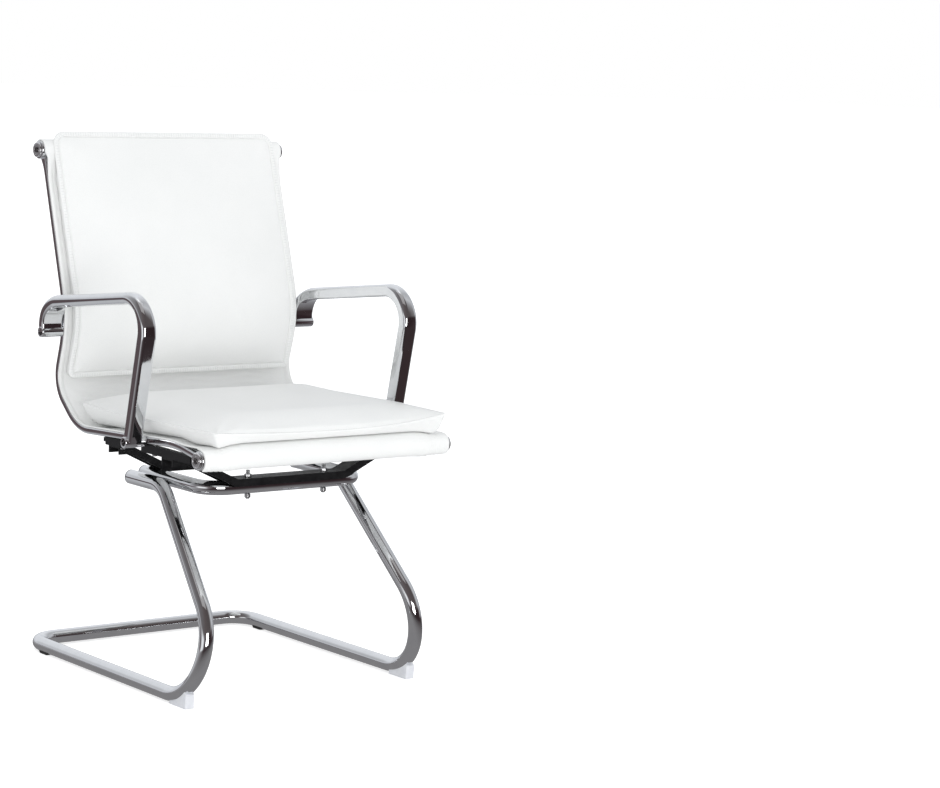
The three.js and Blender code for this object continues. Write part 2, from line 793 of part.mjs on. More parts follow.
// Cross channel, open below: flat over the cradle, rising to flat tips under the bar or plate at each side.
// Its edges are relieved where it seats on the cradle tube.
function crossChannel(y, topZ, bendX, riseX, carriedZ, cradleSpace) {
  const flatZ = topZ - channelHeight / 2;
  const tipZ = carriedZ - touchGap - channelHeight / 2;
  const band = (tipX, low, high) => {
    const half = (sign) => [
      corner(sign * tipX, 0, tipZ),
      corner(sign * riseX, 0, tipZ, channelBendRadius),
      corner(sign * bendX, 0, flatZ, channelBendRadius),
    ];
    const stations = new Route([...half(-1), ...half(1).reverse()]).stations;
    const lifted = (lift) => stations.map(({ point, tangent }) => new THREE.Vector2(
      point.x - tangent.z * lift, point.z + tangent.x * lift));
    return [...lifted(low), ...lifted(high).reverse()];
  };
  const low = -channelHeight / 2;
  const high = channelHeight / 2;
  const side = channelWidth / 2;
  const inside = side - channelWall;
  const outer = extrudeY(band(channelTipX, low, high), y - side, y + side);
  const hollow = band(channelTipX + cutOverrun, low - cutOverrun, high - channelWall);
  const inner = extrudeY(hollow, y - inside, y + inside);
  return surface(drillStuds(solid(outer).subtract(solid(inner)).subtract(cradleSpace)));
}

function underRailZ(y) {
  return seatLineZ(y) - railThickness / 2 - touchGap;
}

function frameScrewPlaces() {
  return [[frameScrewFrontY, barBottomZ], [frameScrewRearY, plateBottomZ]];
}

function drillFrameScrew(geometry, sign, y) {
  const top = seatLineZ(y);
  const hole = rodZ(frameScrewRadius + boreGap, plateBottomZ - railThickness, top, sign * railCentreX, y);
  return surface(solid(geometry).subtract(solid(hole)));
}

function sideBar(sign) {
  const outline = [
    new THREE.Vector2(barFrontY, barBottomZ), new THREE.Vector2(barRearY, barBottomZ),
    new THREE.Vector2(barRearY, underRailZ(barRearY)), new THREE.Vector2(barFrontY, underRailZ(barFrontY)),
  ];
  const centre = sign * railCentreX;
  const bar = extrudeX(outline, centre - barWidth / 2, centre + barWidth / 2);
  return drillFrameScrew(bar, sign, frameScrewFrontY);
}

// Stepped plate between the rear channel's tip and the rail
function mountPlate(sign) {
  const frontY = plateRearY - plateLength;
  const outline = [
    new THREE.Vector2(frontY - plateStep, plateBottomZ),
    new THREE.Vector2(plateRearY - plateStep, plateBottomZ),
    new THREE.Vector2(plateRearY - plateStep, plateStepZ), new THREE.Vector2(plateRearY, plateStepZ),
    new THREE.Vector2(plateRearY, underRailZ(plateRearY)), new THREE.Vector2(frontY, underRailZ(frontY)),
    new THREE.Vector2(frontY, plateStepZ), new THREE.Vector2(frontY - plateStep, plateStepZ),
  ];
  const ends = [sign * (railInnerX - plateOverlap), sign * railOuterX];
  const plate = extrudeX(outline, Math.min(...ends), Math.max(...ends));
  return drillFrameScrew(plate, sign, frameScrewRearY);
}

// Screw from below through a bar or plate into the rail
function frameScrew(sign, y, seatZ) {
  const head = seatZ - touchGap - frameScrewHeadHeight;
  const tip = seatLineZ(y) - railThickness / 2 + frameScrewGrip;
  const edge = frameScrewHeadHeight / 3;
  const profile = [[0, head], [frameScrewHeadRadius - edge, head], [frameScrewHeadRadius, head + edge],
    [frameScrewHeadRadius, seatZ - touchGap], [frameScrewRadius, seatZ - touchGap],
    [frameScrewRadius, tip], [0, tip]];
  return turnedZ(profile, smallSides, sign * railCentreX, y);
}

function stud(x, y, channelTopZ) {
  const top = channelTopZ + studRise;
  const profile = [[0, studBottomZ], [studRadius - nutChamfer, studBottomZ],
    [studRadius, studBottomZ + nutChamfer],
    [studRadius, top - nutChamfer], [studRadius - nutChamfer, top], [0, top]];
  return turnedZ(profile, smallSides, x, y);
}

function nut(radius, sides, fromZ, height, x, y) {
  const top = fromZ + height;
  const profile = [[0, fromZ], [radius - nutChamfer, fromZ], [radius, fromZ + nutChamfer],
    [radius, top - nutChamfer], [radius - nutChamfer, top], [0, top]];
  const bore = rodZ(studRadius + boreGap, fromZ - cutOverrun, top + cutOverrun, x, y);
  return surface(solid(turnedZ(profile, sides, x, y)).subtract(solid(bore)));
}

// Rings of a pad: each is a rounded rectangle about the pad's middle
function padRing(halfWidth, halfHeight, radii, bulge = 0) {
  const corners = roundedRectanglePoints(2 * halfWidth, 2 * halfHeight, radii, padCornerSteps - 1);
  const points = [];
  corners.forEach((point, index) => {
    points.push(point);
    const next = corners[(index + 1) % corners.length];
    if (index % padCornerSteps !== padCornerSteps - 1) {
      return;
    }
    for (let part = 1; part < padSideParts; part += 1) {
      points.push(point.clone().lerp(next, part / padSideParts));
    }
  });
  points.forEach((point) => {
    const along = Math.cos(quarterTurn * Math.min(1, Math.abs(point.y) / halfHeight));
    point.x += Math.sign(point.x) * bulge * along * (Math.abs(point.x) / halfWidth);
  });
  return points;
}

// How high a pad's crown has risen at a share of the way in from its seam
function crownRise(share, fullShare, power) {
  return Math.sin(quarterTurn * Math.min(1, share / fullShare)) ** power;
}

// Room that the pads leave for the sling, the rails and the rolls under them
function padRest() {
  const half = railOuterX - railLipWidth;
  const low = -railThickness / 2;
  const high = slingLift + slingThickness / 2 + touchGap;
  let room = solid(extrudeX(stripOutline(railLine, low, high), -half, half));
  const radii = [railCornerRadius, railCornerRadius, railCornerRadius, railCornerRadius];
  const grown = roundedRectanglePoints(railWidth + 2 * touchGap, railThickness + 2 * touchGap, radii);
  const frontRoom = frontRollProfile(frontSleeveRadius + touchGap, frontSleeveEndRadius + touchGap);
  room = room.add(solid(turnedX(closeEnds(frontRoom, railInnerX), roundSides, frontRollY, frontRollZ)));
  room = room.add(solid(rodX(topSleeveRadius + touchGap, -railInnerX, railInnerX, topRollY, topRollZ)));
  sides.forEach(([, sign]) => {
    const eye = [sign * (railInnerX - touchGap), sign * (eyeFaceX + touchGap)];
    room = room.add(solid(sweep(new THREE.Shape(grown), new Route(railCorners(sign * railCentreX)))));
    [[topRollY, topRollZ], [frontRollY, frontRollZ]].forEach(([y, z]) => {
      room = room.add(solid(rodX(eyeRadius + touchGap, Math.min(...eye), Math.max(...eye), y, z)));
    });
  });
  return room;
}

// Back pad: crowned front panel, flat sewn flange, and sides drawn in to the sling
function backPad(room) {
  const topZ = topRollZ + backPadTopRise;
  const halfHeight = (topZ - backPadBottomZ) / 2;
  const middleZ = (topZ + backPadBottomZ) / 2;
  const rest = slingLift;
  const rollFront = topSleeveRadius - slingThickness;
  const radiiFor = (inset) => [backPadBottomRadius, backPadBottomRadius, backPadTopRadius, backPadTopRadius]
    .map((radius) => Math.min(radius + inset * ringCornerShare, halfHeight - inset));
  const seam = backPadFlangeLift + backPadFlangeThickness / 2;
  const rings = [];
  const front = (inset, lift) => rings.push({ inset, lift: () => lift });
  backPanelShares.forEach((share) => {
    const inset = backPadFlangeWidth + share * (halfHeight - backPadFlangeWidth);
    front(inset, seam + backPadCrown * crownRise(share, backCrownFullShare, backCrownPower));
  });
  front(backPadFlangeWidth, seam - backPadSeamDepth);
  front(backPadFlangeWidth / 2, seam);
  front(0, seam - backPadFlangeThickness / 4);
  front(0, seam - backPadFlangeThickness);
  const back = (inset, depthShare) => rings.push({
    inset,
    lift: (z) => {
      const nearRoll = THREE.MathUtils.smoothstep(z, topRollZ - backPadRollEase, topRollZ - backPadRollRise);
      const floor = THREE.MathUtils.lerp(rest, rollFront, nearRoll);
      const upper = backPadFlangeLift - backPadFlangeThickness / 2;
      return THREE.MathUtils.lerp(Math.max(upper, floor), floor, depthShare);
    },
  });
  backBoxingShares.forEach((share) => back(backPadDrawIn, share));
  backRearShares.forEach((share) => back(share * halfHeight, 1));
  const points = rings.map(({ inset, lift }) => {
    const ring = padRing(backPadHalfWidth - inset, halfHeight - inset, radiiFor(inset));
    return ring.map((point) => {
      const z = middleZ + point.y;
      const line = backLineAt(z);
      const height = lift(z);
      return new THREE.Vector3(point.x, line.point.y + line.tangent.z * height, z);
    });
  });
  return surface(solid(loft(points)).subtract(room));
}

// Seat pad: crowned pillow with a seam half way up, pointed corners and sides drawn in below
function seatPad(room) {
  const halfLength = (seatPadRearY - seatPadFrontY) / 2;
  const middleY = (seatPadRearY + seatPadFrontY) / 2;
  const rings = [];
  const overRail = railThickness / 2 - slingThickness / 2;
  const overSling = slingLift;
  const rollTopZ = frontRollZ + frontSleeveRadius - slingThickness / 2;
  const bottom = (y, over) => {
    const roll = Math.abs(y - frontRollY) < 2 * frontSleeveRadius ? rollTopZ : 0;
    return Math.max(seatLineZ(y) + over, roll);
  };
  const topRise = seatPadTopZ - seatPadSeamZ;
  const radiiFor = (inset) => [0, 0, 0, 0]
    .map(() => Math.min(seatPadEarRadius + inset * ringCornerShare, halfLength - inset));
  seatTopShares.forEach((share) => {
    const inset = share * halfLength;
    const height = topRise * crownRise(share, seatCrownFullShare, seatCrownPower);
    rings.push({ inset, z: () => seatPadSeamZ + height });
  });
  rings.push({ inset: 0, z: () => seatPadSeamZ });
  rings.push({ inset: seatPadDrawIn / 4, z: (y) => (seatPadSeamZ + bottom(y, overRail)) / 2 });
  rings.push({ inset: seatPadDrawIn, z: (y) => bottom(y, overRail) });
  seatUnderShares.forEach((share) => {
    rings.push({ inset: share * halfLength, z: (y) => bottom(y, overSling) });
  });
  const points = rings.map(({ inset, z }) => {
    const ring = padRing(seatPadHalfWidth - inset, halfLength - inset, radiiFor(inset), seatPadSideBulge);
    return ring.map((point) => {
      const y = middleY + point.y;
      return new THREE.Vector3(point.x, y, z(y));
    });
  });
  return surface(solid(loft(points)).subtract(room));
}

// Assembly
const chair = new THREE.Group();
chair.name = 'sled_base_visitor_chair';

function place(name, geometry, finish) {
  const mesh = new THREE.Mesh(surface(solid(geometry)), new THREE.MeshStandardMaterial(finish));
  mesh.name = name;
  chair.add(mesh);
}

const tubeSpace = spaceRound(sledRoute());
const cradleSpace = spaceRound(cradleRoute());
const padRoom = padRest();

place('sled_tube', sweep(tubeShape(tubeRadius, tubeWall), sledRoute()), chrome);
place('cradle_tube', cradleTube(), chrome);
place('front_roll_tube', rollTube(frontRollY, frontRollZ), zinc);
place('top_roll_tube', rollTube(topRollY, topRollZ), zinc);
place('front_roll_foam', frontRollFoam(), foam);
place('sling', sling(), leatherette);
place('back_pad', backPad(padRoom), leatherette);
place('seat_pad', seatPad(padRoom), leatherette);
place('front_channel', crossChannel(
  cradleFrontY, frontChannelTopZ, frontChannelBendX, frontChannelRiseX, barBottomZ, cradleSpace), blackSteel);
place('rear_channel', crossChannel(
  rearChannelY, rearChannelTopZ, rearChannelBendX, rearChannelRiseX, plateBottomZ, cradleSpace), blackSteel);

sides.forEach(([side, sign]) => {
  place(`side_rail_${side}`, sideRail(sign), chrome);
  place(`armrest_${side}`, armrest(sign), chrome);
  place(`side_bar_${side}`, sideBar(sign), blackSteel);
  place(`mount_plate_${side}`, mountPlate(sign), blackSteel);
  place(`front_glide_${side}`, frontGlide(sign, tubeSpace), clearPlastic);
  place(`rear_glide_${side}`, rearGlide(sign, tubeSpace), blackPlastic);
  place(`leg_plug_${side}`, tubePlug(sign * legTopX, legEndY, legEndZ), greyPlastic);
  place(`cradle_plug_${side}`, tubePlug(sign * cradleArmX, cradleEndY, cradleZ), greyPlastic);
  [['top', topRollY, topRollZ], ['front', frontRollY, frontRollZ]].forEach(([end, y, z]) => {
    place(`${end}_cap_${side}`, rollCap(sign, y, z), chrome);
    place(`${end}_cap_screw_${side}`, capScrew(sign, y, z), zinc);
  });
  armBosses.forEach(([y, z], index) => {
    place(`arm_screw_${['front', 'rear'][index]}_${side}`, armScrew(sign, y, z), zinc);
  });
  frameScrewPlaces().forEach(([y, seatZ], index) => {
    place(`frame_screw_${['front', 'rear'][index]}_${side}`, frameScrew(sign, y, seatZ), zinc);
  });
});

studPlaces().forEach(([name, x, y, channelTopZ]) => {
  const sleeveZ = cradleZ - tubeRadius - touchGap - sleeveNutHeight;
  place(`stud_${name}`, stud(x, y, channelTopZ), zinc);
  place(`sleeve_nut_${name}`, nut(sleeveNutRadius, smallSides, sleeveZ, sleeveNutHeight, x, y), zinc);
  const lockZ = channelTopZ + touchGap;
  place(`lock_nut_${name}`, nut(lockNutRadius, hexSides, lockZ, lockNutHeight, x, y), zinc);
});

export default chair;
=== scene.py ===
import math
import bpy
import numpy as np
from mathutils import Matrix, Vector


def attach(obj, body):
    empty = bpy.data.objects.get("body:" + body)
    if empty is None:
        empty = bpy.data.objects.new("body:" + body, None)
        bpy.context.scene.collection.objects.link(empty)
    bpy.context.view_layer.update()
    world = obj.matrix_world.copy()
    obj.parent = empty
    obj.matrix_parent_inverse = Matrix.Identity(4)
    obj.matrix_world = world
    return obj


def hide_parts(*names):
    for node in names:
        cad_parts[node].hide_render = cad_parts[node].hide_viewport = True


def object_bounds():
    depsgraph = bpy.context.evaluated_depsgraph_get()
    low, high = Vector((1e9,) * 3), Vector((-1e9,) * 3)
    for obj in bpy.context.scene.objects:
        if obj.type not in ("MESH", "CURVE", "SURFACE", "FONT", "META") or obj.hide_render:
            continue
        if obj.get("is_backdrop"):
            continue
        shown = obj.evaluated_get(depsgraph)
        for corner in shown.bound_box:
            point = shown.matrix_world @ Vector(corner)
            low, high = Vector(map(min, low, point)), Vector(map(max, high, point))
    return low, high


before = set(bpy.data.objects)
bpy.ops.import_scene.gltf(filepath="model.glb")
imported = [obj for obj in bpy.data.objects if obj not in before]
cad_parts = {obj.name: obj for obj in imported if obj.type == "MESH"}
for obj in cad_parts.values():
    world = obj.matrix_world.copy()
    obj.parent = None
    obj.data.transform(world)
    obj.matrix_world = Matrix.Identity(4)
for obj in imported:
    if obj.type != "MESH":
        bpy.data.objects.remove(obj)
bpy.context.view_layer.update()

# Sled base visitor chair, dressed. Lengths are millimetres in the same frame as the solids, scaled on the way in.
MM = 0.001
rng = np.random.default_rng(41)

# Sizes shared with the solids
RAIL_X, RAIL_W, RAIL_T, RAIL_R, RAIL_LIP = 225.0, 18.0, 12.0, 3.0, 3.0
RAIL_MID = RAIL_X + RAIL_W / 2
RAIL_OUT = RAIL_X + RAIL_W
TOP_ROLL = (258.0, 903.0)
FRONT_ROLL = (-290.0, 424.5)
LINE = [(258.0, 903.0, 0.0), (168.0, 611.5, 182.0), (204.0, 492.7, 60.0), (122.0, 424.5, 100.0),
        (-205.0, 439.5, 260.0), (-290.0, 424.5, 0.0)]
EYE_R, EYE_FACE = 16.0, 250.5
EYE_TAIL = 34.0
CAP_R, CAP_H, CAP_RING, CAP_DISH, CAP_DEPTH = 13.2, 4.2, 10.4, 6.4, 1.6
ROLL_R = 12.5
FOAM_R, FOAM_END, FOAM_TAPER = 19.2, 14.0, 36.0
ARM_X, ARM_W, ARM_T, ARM_SOFT, ARM_FULL, ARM_EDGE = 267.0, 28.5, 22.0, 6.5, 10.9, 4.0
ARM_BOSS_FRONT, ARM_BOSS_REAR = (-110.0, 433.1), (179.9, 590.0)
ARM_FRONT, ARM_REAR = (-164.5, 681.0, 53.0), (183.9, 641.5, 45.0)
ARM_WEB, ARM_BOSS_R, ARM_BOSS_END = 15.0, 9.5, 285.0
TUBE_R, TUBE_WALL = 12.6, 2.0
RUNNER_X, RUNNER_Z, RUNNER_REAR, REAR_R = 228.0, 14.2, 304.4, 47.0
KNEE_Y, KNEE_R, SHOULDER_Y, SHOULDER_R = -399.0, 95.0, -70.0, 60.0
LEG_END_Y, LEG_END_Z = 36.0, 348.0
CRADLE_Z, CRADLE_Y, CRADLE_X, CRADLE_END, CRADLE_R = 355.0, -174.0, 156.5, 32.0, 42.0
WELD = 2 * TUBE_R + 0.3
LEG_X = CRADLE_X + math.sqrt(WELD ** 2 - (CRADLE_Z - LEG_END_Z) ** 2)
SLING_T, SLING_LIFT, SLING_X, SLING_WIDE, SLEEVE_X = 2.3, 3.0, 224.6, 243.0, 247.2
LAP_LIFT, SEAT_PUFF, ROLL_RAISE = RAIL_T / 2 + 0.3 + SLING_T / 2, 5.0, 3.2
REBATE_RUN, REBATE_LIFT = 25.9, 1.2
BACK_X, BACK_TOP, BACK_BOTTOM = 230.0, 936.0, 507.0
SEAT_X, SEAT_BULGE, SEAT_FRONT, SEAT_REAR = 234.0, 8.0, -317.0, 124.0
SEAT_SEAM, SEAT_TOP, SEAT_R, SEAT_DRAW = 470.0, 491.0, 10.0, 22.0


def smooth(value, low, high):
    share = np.clip((value - low) / (high - low), 0.0, 1.0)
    return share * share * (3 - 2 * share)


# ---------------------------------------------------------------- materials

def material(name):
    made = bpy.data.materials.new(name)
    made.use_nodes = True
    nodes = made.node_tree.nodes
    nodes.clear()
    out = nodes.new("ShaderNodeOutputMaterial")
    shader = nodes.new("ShaderNodeBsdfPrincipled")
    made.node_tree.links.new(shader.outputs["BSDF"], out.inputs["Surface"])
    return made, nodes, made.node_tree.links, shader


def coordinates(nodes):
    return nodes.new("ShaderNodeTexCoord").outputs["Object"]


def noise(nodes, links, where, scale, detail=3.0, rough=0.5, stretch=None):
    node = nodes.new("ShaderNodeTexNoise")
    node.inputs["Scale"].default_value = scale
    node.inputs["Detail"].default_value = detail
    node.inputs["Roughness"].default_value = rough
    if stretch:
        mapping = nodes.new("ShaderNodeMapping")
        mapping.inputs["Scale"].default_value = stretch
        links.new(where, mapping.inputs["Vector"])
        where = mapping.outputs["Vector"]
    links.new(where, node.inputs["Vector"])
    return node.outputs["Fac"]


def ramp(nodes, links, factor, stops):
    node = nodes.new("ShaderNodeValToRGB")
    elements = node.color_ramp.elements
    while len(elements) < len(stops):
        elements.new(0.5)
    for element, (place, colour) in zip(elements, stops):
        element.position = place
        element.color = (*colour, 1.0)
    links.new(factor, node.inputs["Fac"])
    return node.outputs["Color"]


def remap(nodes, links, value, low, high, to_low, to_high):
    node = nodes.new("ShaderNodeMapRange")
    for name, number in (("From Min", low), ("From Max", high), ("To Min", to_low), ("To Max", to_high)):
        node.inputs[name].default_value = number
    links.new(value, node.inputs["Value"])
    return node.outputs["Result"]


def bump(nodes, links, height, distance, strength, under=None):
    node = nodes.new("ShaderNodeBump")
    node.inputs["Distance"].default_value = distance
    node.inputs["Strength"].default_value = strength
    links.new(height, node.inputs["Height"])
    if under is not None:
        links.new(under, node.inputs["Normal"])
    return node.outputs["Normal"]


def make_leatherette():
    made, nodes, links, shader = material("white_leatherette")
    where = coordinates(nodes)
    cells = nodes.new("ShaderNodeTexVoronoi")
    cells.feature = "SMOOTH_F1"
    cells.inputs["Scale"].default_value = 760.0
    cells.inputs["Randomness"].default_value = 0.95
    links.new(where, cells.inputs["Vector"])
    fine = noise(nodes, links, where, 1900.0, 3.0)
    broad = noise(nodes, links, where, 7.0, 4.0, 0.55)
    tone = ramp(nodes, links, broad, [(0.30, (0.862, 0.868, 0.858)), (0.70, (0.895, 0.898, 0.888))])
    pits = ramp(nodes, links, cells.outputs["Distance"], [(0.0, (1, 1, 1)), (0.75, (0.955, 0.955, 0.955))])
    mix = nodes.new("ShaderNodeMix")
    mix.data_type = "RGBA"
    mix.blend_type = "MULTIPLY"
    mix.inputs["Factor"].default_value = 1.0
    links.new(tone, mix.inputs["A"])
    links.new(pits, mix.inputs["B"])
    links.new(mix.outputs["Result"], shader.inputs["Base Color"])
    links.new(remap(nodes, links, broad, 0.3, 0.7, 0.40, 0.50), shader.inputs["Roughness"])
    first = bump(nodes, links, cells.outputs["Distance"], 0.00018, 0.35)
    second = bump(nodes, links, fine, 0.00008, 0.30, first)
    waves = noise(nodes, links, where, 26.0, 2.0)
    links.new(bump(nodes, links, waves, 0.0009, 0.30, second), shader.inputs["Normal"])
    shader.inputs["Specular IOR Level"].default_value = 0.42
    return made


def make_chrome():
    made, nodes, links, shader = material("polished_chrome")
    where = coordinates(nodes)
    smudge = noise(nodes, links, where, 34.0, 5.0, 0.62)
    fine = noise(nodes, links, where, 420.0, 2.0)
    tone = ramp(nodes, links, smudge, [(0.30, (0.755, 0.765, 0.785)), (0.72, (0.815, 0.822, 0.835))])
    links.new(tone, shader.inputs["Base Color"])
    shader.inputs["Metallic"].default_value = 1.0
    links.new(remap(nodes, links, smudge, 0.30, 0.78, 0.035, 0.095), shader.inputs["Roughness"])
    links.new(bump(nodes, links, fine, 0.00002, 0.12), shader.inputs["Normal"])
    return made


def make_metal(name, dark, light, low, high, metallic, grain, depth, shine=0.5):
    made, nodes, links, shader = material(name)
    where = coordinates(nodes)
    cloud = noise(nodes, links, where, 90.0, 4.0, 0.6)
    links.new(ramp(nodes, links, cloud, [(0.3, dark), (0.7, light)]), shader.inputs["Base Color"])
    shader.inputs["Metallic"].default_value = metallic
    shader.inputs["Specular IOR Level"].default_value = shine
    links.new(remap(nodes, links, cloud, 0.3, 0.7, low, high), shader.inputs["Roughness"])
    links.new(bump(nodes, links, noise(nodes, links, where, grain, 3.0), depth, 0.4), shader.inputs["Normal"])
    return made


def make_plastic(name, dark, light, low, high, milky=0.0):
    made, nodes, links, shader = material(name)
    where = coordinates(nodes)
    cloud = noise(nodes, links, where, 55.0, 4.0, 0.6)
    links.new(ramp(nodes, links, cloud, [(0.3, dark), (0.7, light)]), shader.inputs["Base Color"])
    links.new(remap(nodes, links, cloud, 0.3, 0.7, low, high), shader.inputs["Roughness"])
    links.new(bump(nodes, links, noise(nodes, links, where, 800.0, 2.0), 0.00005, 0.3), shader.inputs["Normal"])
    if milky:
        shader.inputs["Subsurface Weight"].default_value = milky
        shader.inputs["Subsurface Radius"].default_value = (1.0, 1.0, 1.1)
        shader.inputs["Subsurface Scale"].default_value = 0.004
    return made


LEATHER = make_leatherette()
CHROME = make_chrome()
ZINC = make_metal("bright_zinc", (0.52, 0.53, 0.54), (0.68, 0.68, 0.69), 0.22, 0.38, 1.0, 900.0, 0.00003)
SATIN = make_metal("satin_chrome", (0.70, 0.70, 0.71), (0.80, 0.80, 0.81), 0.20, 0.30, 1.0, 1200.0, 0.00003)
# Screws are coloured dark all over as painted shade: the dark stands in for the shade in the recesses they sit in, the
# caps' dishes and the arm bosses' counterbores.
RECESS_SHADE_STEEL = make_metal("screw_steel_painted_recess_shade", (0.12, 0.11, 0.11), (0.20, 0.19, 0.19), 0.28, 0.42, 1.0, 900.0, 0.00003)
BLACK_STEEL = make_metal("black_powder_coat", (0.006, 0.006, 0.007), (0.012, 0.012, 0.013), 0.36, 0.50, 0.0, 1500.0,
                         0.00009, 0.28)
MILKY = make_plastic("milky_glide_plastic", (0.70, 0.71, 0.75), (0.80, 0.81, 0.84), 0.30, 0.42, 0.35)
BLACK_PLASTIC = make_plastic("black_glide_plastic", (0.012, 0.012, 0.012), (0.024, 0.024, 0.024), 0.42, 0.55)
GREY_PLASTIC = make_plastic("grey_plug_plastic", (0.13, 0.135, 0.14), (0.20, 0.205, 0.21), 0.34, 0.46)
FOAM = make_plastic("foam_sleeve_foam", (0.62, 0.58, 0.44), (0.74, 0.70, 0.56), 0.85, 0.95)
THREAD = make_plastic("white_sewing_thread", (0.74, 0.75, 0.74), (0.84, 0.85, 0.84), 0.50, 0.65)


# ---------------------------------------------------------------- mesh helpers

class Shell:
    """Vertices and faces of one piece, in millimetres; several closed forms may go into it."""

    def __init__(self):
        self.verts = []
        self.faces = []

    def add(self, verts, faces):
        base = len(self.verts)
        self.verts.extend(tuple(map(float, v)) for v in verts)
        self.faces.extend(tuple(base + i for i in face) for face in faces)

    def loft(self, rings, capped=True):
        count = len(rings[0])
        verts = [p for ring in rings for p in ring]
        faces = []
        for row in range(len(rings) - 1):
            for col in range(count):
                a, b = row * count + col, row * count + (col + 1) % count
                faces.append((a, b, b + count, a + count))
        if capped:
            for row, flip in ((0, True), (len(rings) - 1, False)):
                hub = len(verts)
                verts.append(np.mean(np.array(rings[row], float), axis=0))
                for col in range(count):
                    a, b = row * count + col, row * count + (col + 1) % count
                    faces.append((hub, b, a) if flip else (hub, a, b))
        self.add(verts, faces)

    def lathe(self, profile, place, sides=48, hexes=()):
        """profile holds (radius, height) from one end to the other; place turns (a, b, height) into a point."""
        verts, faces, rows = [], [], []
        for index, (radius, height) in enumerate(profile):
            if radius <= 1e-6:
                rows.append([len(verts)])
                verts.append(place(0.0, 0.0, height))
                continue
            row = []
            for step in range(sides):
                angle = 2 * math.pi * step / sides
                reach = radius
                if index in hexes:
                    turn = (math.degrees(angle) + 30.0) % 60.0 - 30.0
                    reach = radius / math.cos(math.radians(turn))
                row.append(len(verts))
                verts.append(place(reach * math.cos(angle), reach * math.sin(angle), height))
            rows.append(row)
        for low, high in zip(rows, rows[1:]):
            for step in range(sides):
                after = (step + 1) % sides
                if len(low) == 1 and len(high) == 1:
                    break
                if len(low) == 1:
                    faces.append((low[0], high[after], high[step]))
                elif len(high) == 1:
                    faces.append((low[step], low[after], high[0]))
                else:
                    faces.append((low[step], low[after], high[after], high[step]))
        self.add(verts, faces)

    def piece(self, name, finish, slot, sharp=38.0):
        mesh = bpy.data.meshes.new(name)
        mesh.from_pydata([(x * MM, y * MM, z * MM) for x, y, z in self.verts], [], self.faces)
        mesh.validate()
        mesh.update()
        mesh.materials.append(finish)
        made = bpy.data.objects.new(name, mesh)
        bpy.context.scene.collection.objects.link(made)
        outward(made)
        mesh.shade_smooth()
        mesh.set_sharp_from_angle(angle=math.radians(sharp))
        return made


def outward(made):
    """Turn every face outward, island by island."""
    import bmesh
    work = bmesh.new()
    work.from_mesh(made.data)
    bmesh.ops.recalc_face_normals(work, faces=work.faces)
    work.to_mesh(made.data)
    work.free()


def stands_for(piece, *nodes):
    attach(piece, "root")
    if nodes:
        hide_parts(*nodes)
    return piece


def along_x(sign, y, z):
    return lambda a, b, height: (sign * height, y + a, z + b)


def along_y(x, z):
    return lambda a, b, height: (x + a, height, z + b)


def along_z(x, y):
    return lambda a, b, height: (x + a, y + b, height)


class Route:
    """Straight stretches whose corners are rounded by true arcs, as dense stations of point and heading."""

    def __init__(self, corners, arc_step=3.0, straight_step=None):
        points = [np.array(c[:3], float) for c in corners]
        at, heading = [], []

        def put(point, tangent):
            at.append(point)
            heading.append(tangent)

        first = points[1] - points[0]
        put(points[0], first / np.linalg.norm(first))
        for index in range(1, len(points) - 1):
            into = points[index] - points[index - 1]
            into = into / np.linalg.norm(into)
            out = points[index + 1] - points[index]
            out = out / np.linalg.norm(out)
            turn = math.acos(max(-1.0, min(1.0, float(into @ out))))
            radius = corners[index][3]
            start = points[index] - into * radius * math.tan(turn / 2)
            side = out - into * float(into @ out)
            side = side / np.linalg.norm(side)
            centre = start + side * radius
            steps = max(4, int(math.ceil(math.degrees(turn) / arc_step)))
            for step in range(steps + 1):
                angle = turn * step / steps
                put(centre - side * radius * math.cos(angle) + into * radius * math.sin(angle),
                    into * math.cos(angle) + side * math.sin(angle))
        last = points[-1] - points[-2]
        put(points[-1], last / np.linalg.norm(last))
        self.at, self.heading = np.array(at), np.array(heading)
        if straight_step:
            self.refine(straight_step)
        gaps = np.linalg.norm(np.diff(self.at, axis=0), axis=1)
        self.run = np.concatenate([[0.0], np.cumsum(gaps)])
        self.length = float(self.run[-1])

    def refine(self, step):
        at, heading = [self.at[0]], [self.heading[0]]
        for a, b, ta, tb in zip(self.at, self.at[1:], self.heading, self.heading[1:]):
            parts = max(1, int(math.ceil(np.linalg.norm(b - a) / step)))
            for part in range(1, parts + 1):
                share = part / parts
                tangent = ta + (tb - ta) * share
                at.append(a + (b - a) * share)
                heading.append(tangent / np.linalg.norm(tangent))
        self.at, self.heading = np.array(at), np.array(heading)

    def frames(self):
        """Two directions square to the heading that turn as little as they can."""
        across = np.cross(self.heading[0], [0.0, 0.0, 1.0])
        if np.linalg.norm(across) < 0.1:
            across = np.cross(self.heading[0], [1.0, 0.0, 0.0])
        pairs = []
        for tangent in self.heading:
            across = across - tangent * float(across @ tangent)
            across = across / np.linalg.norm(across)
            pairs.append((across, np.cross(tangent, across)))
        return pairs


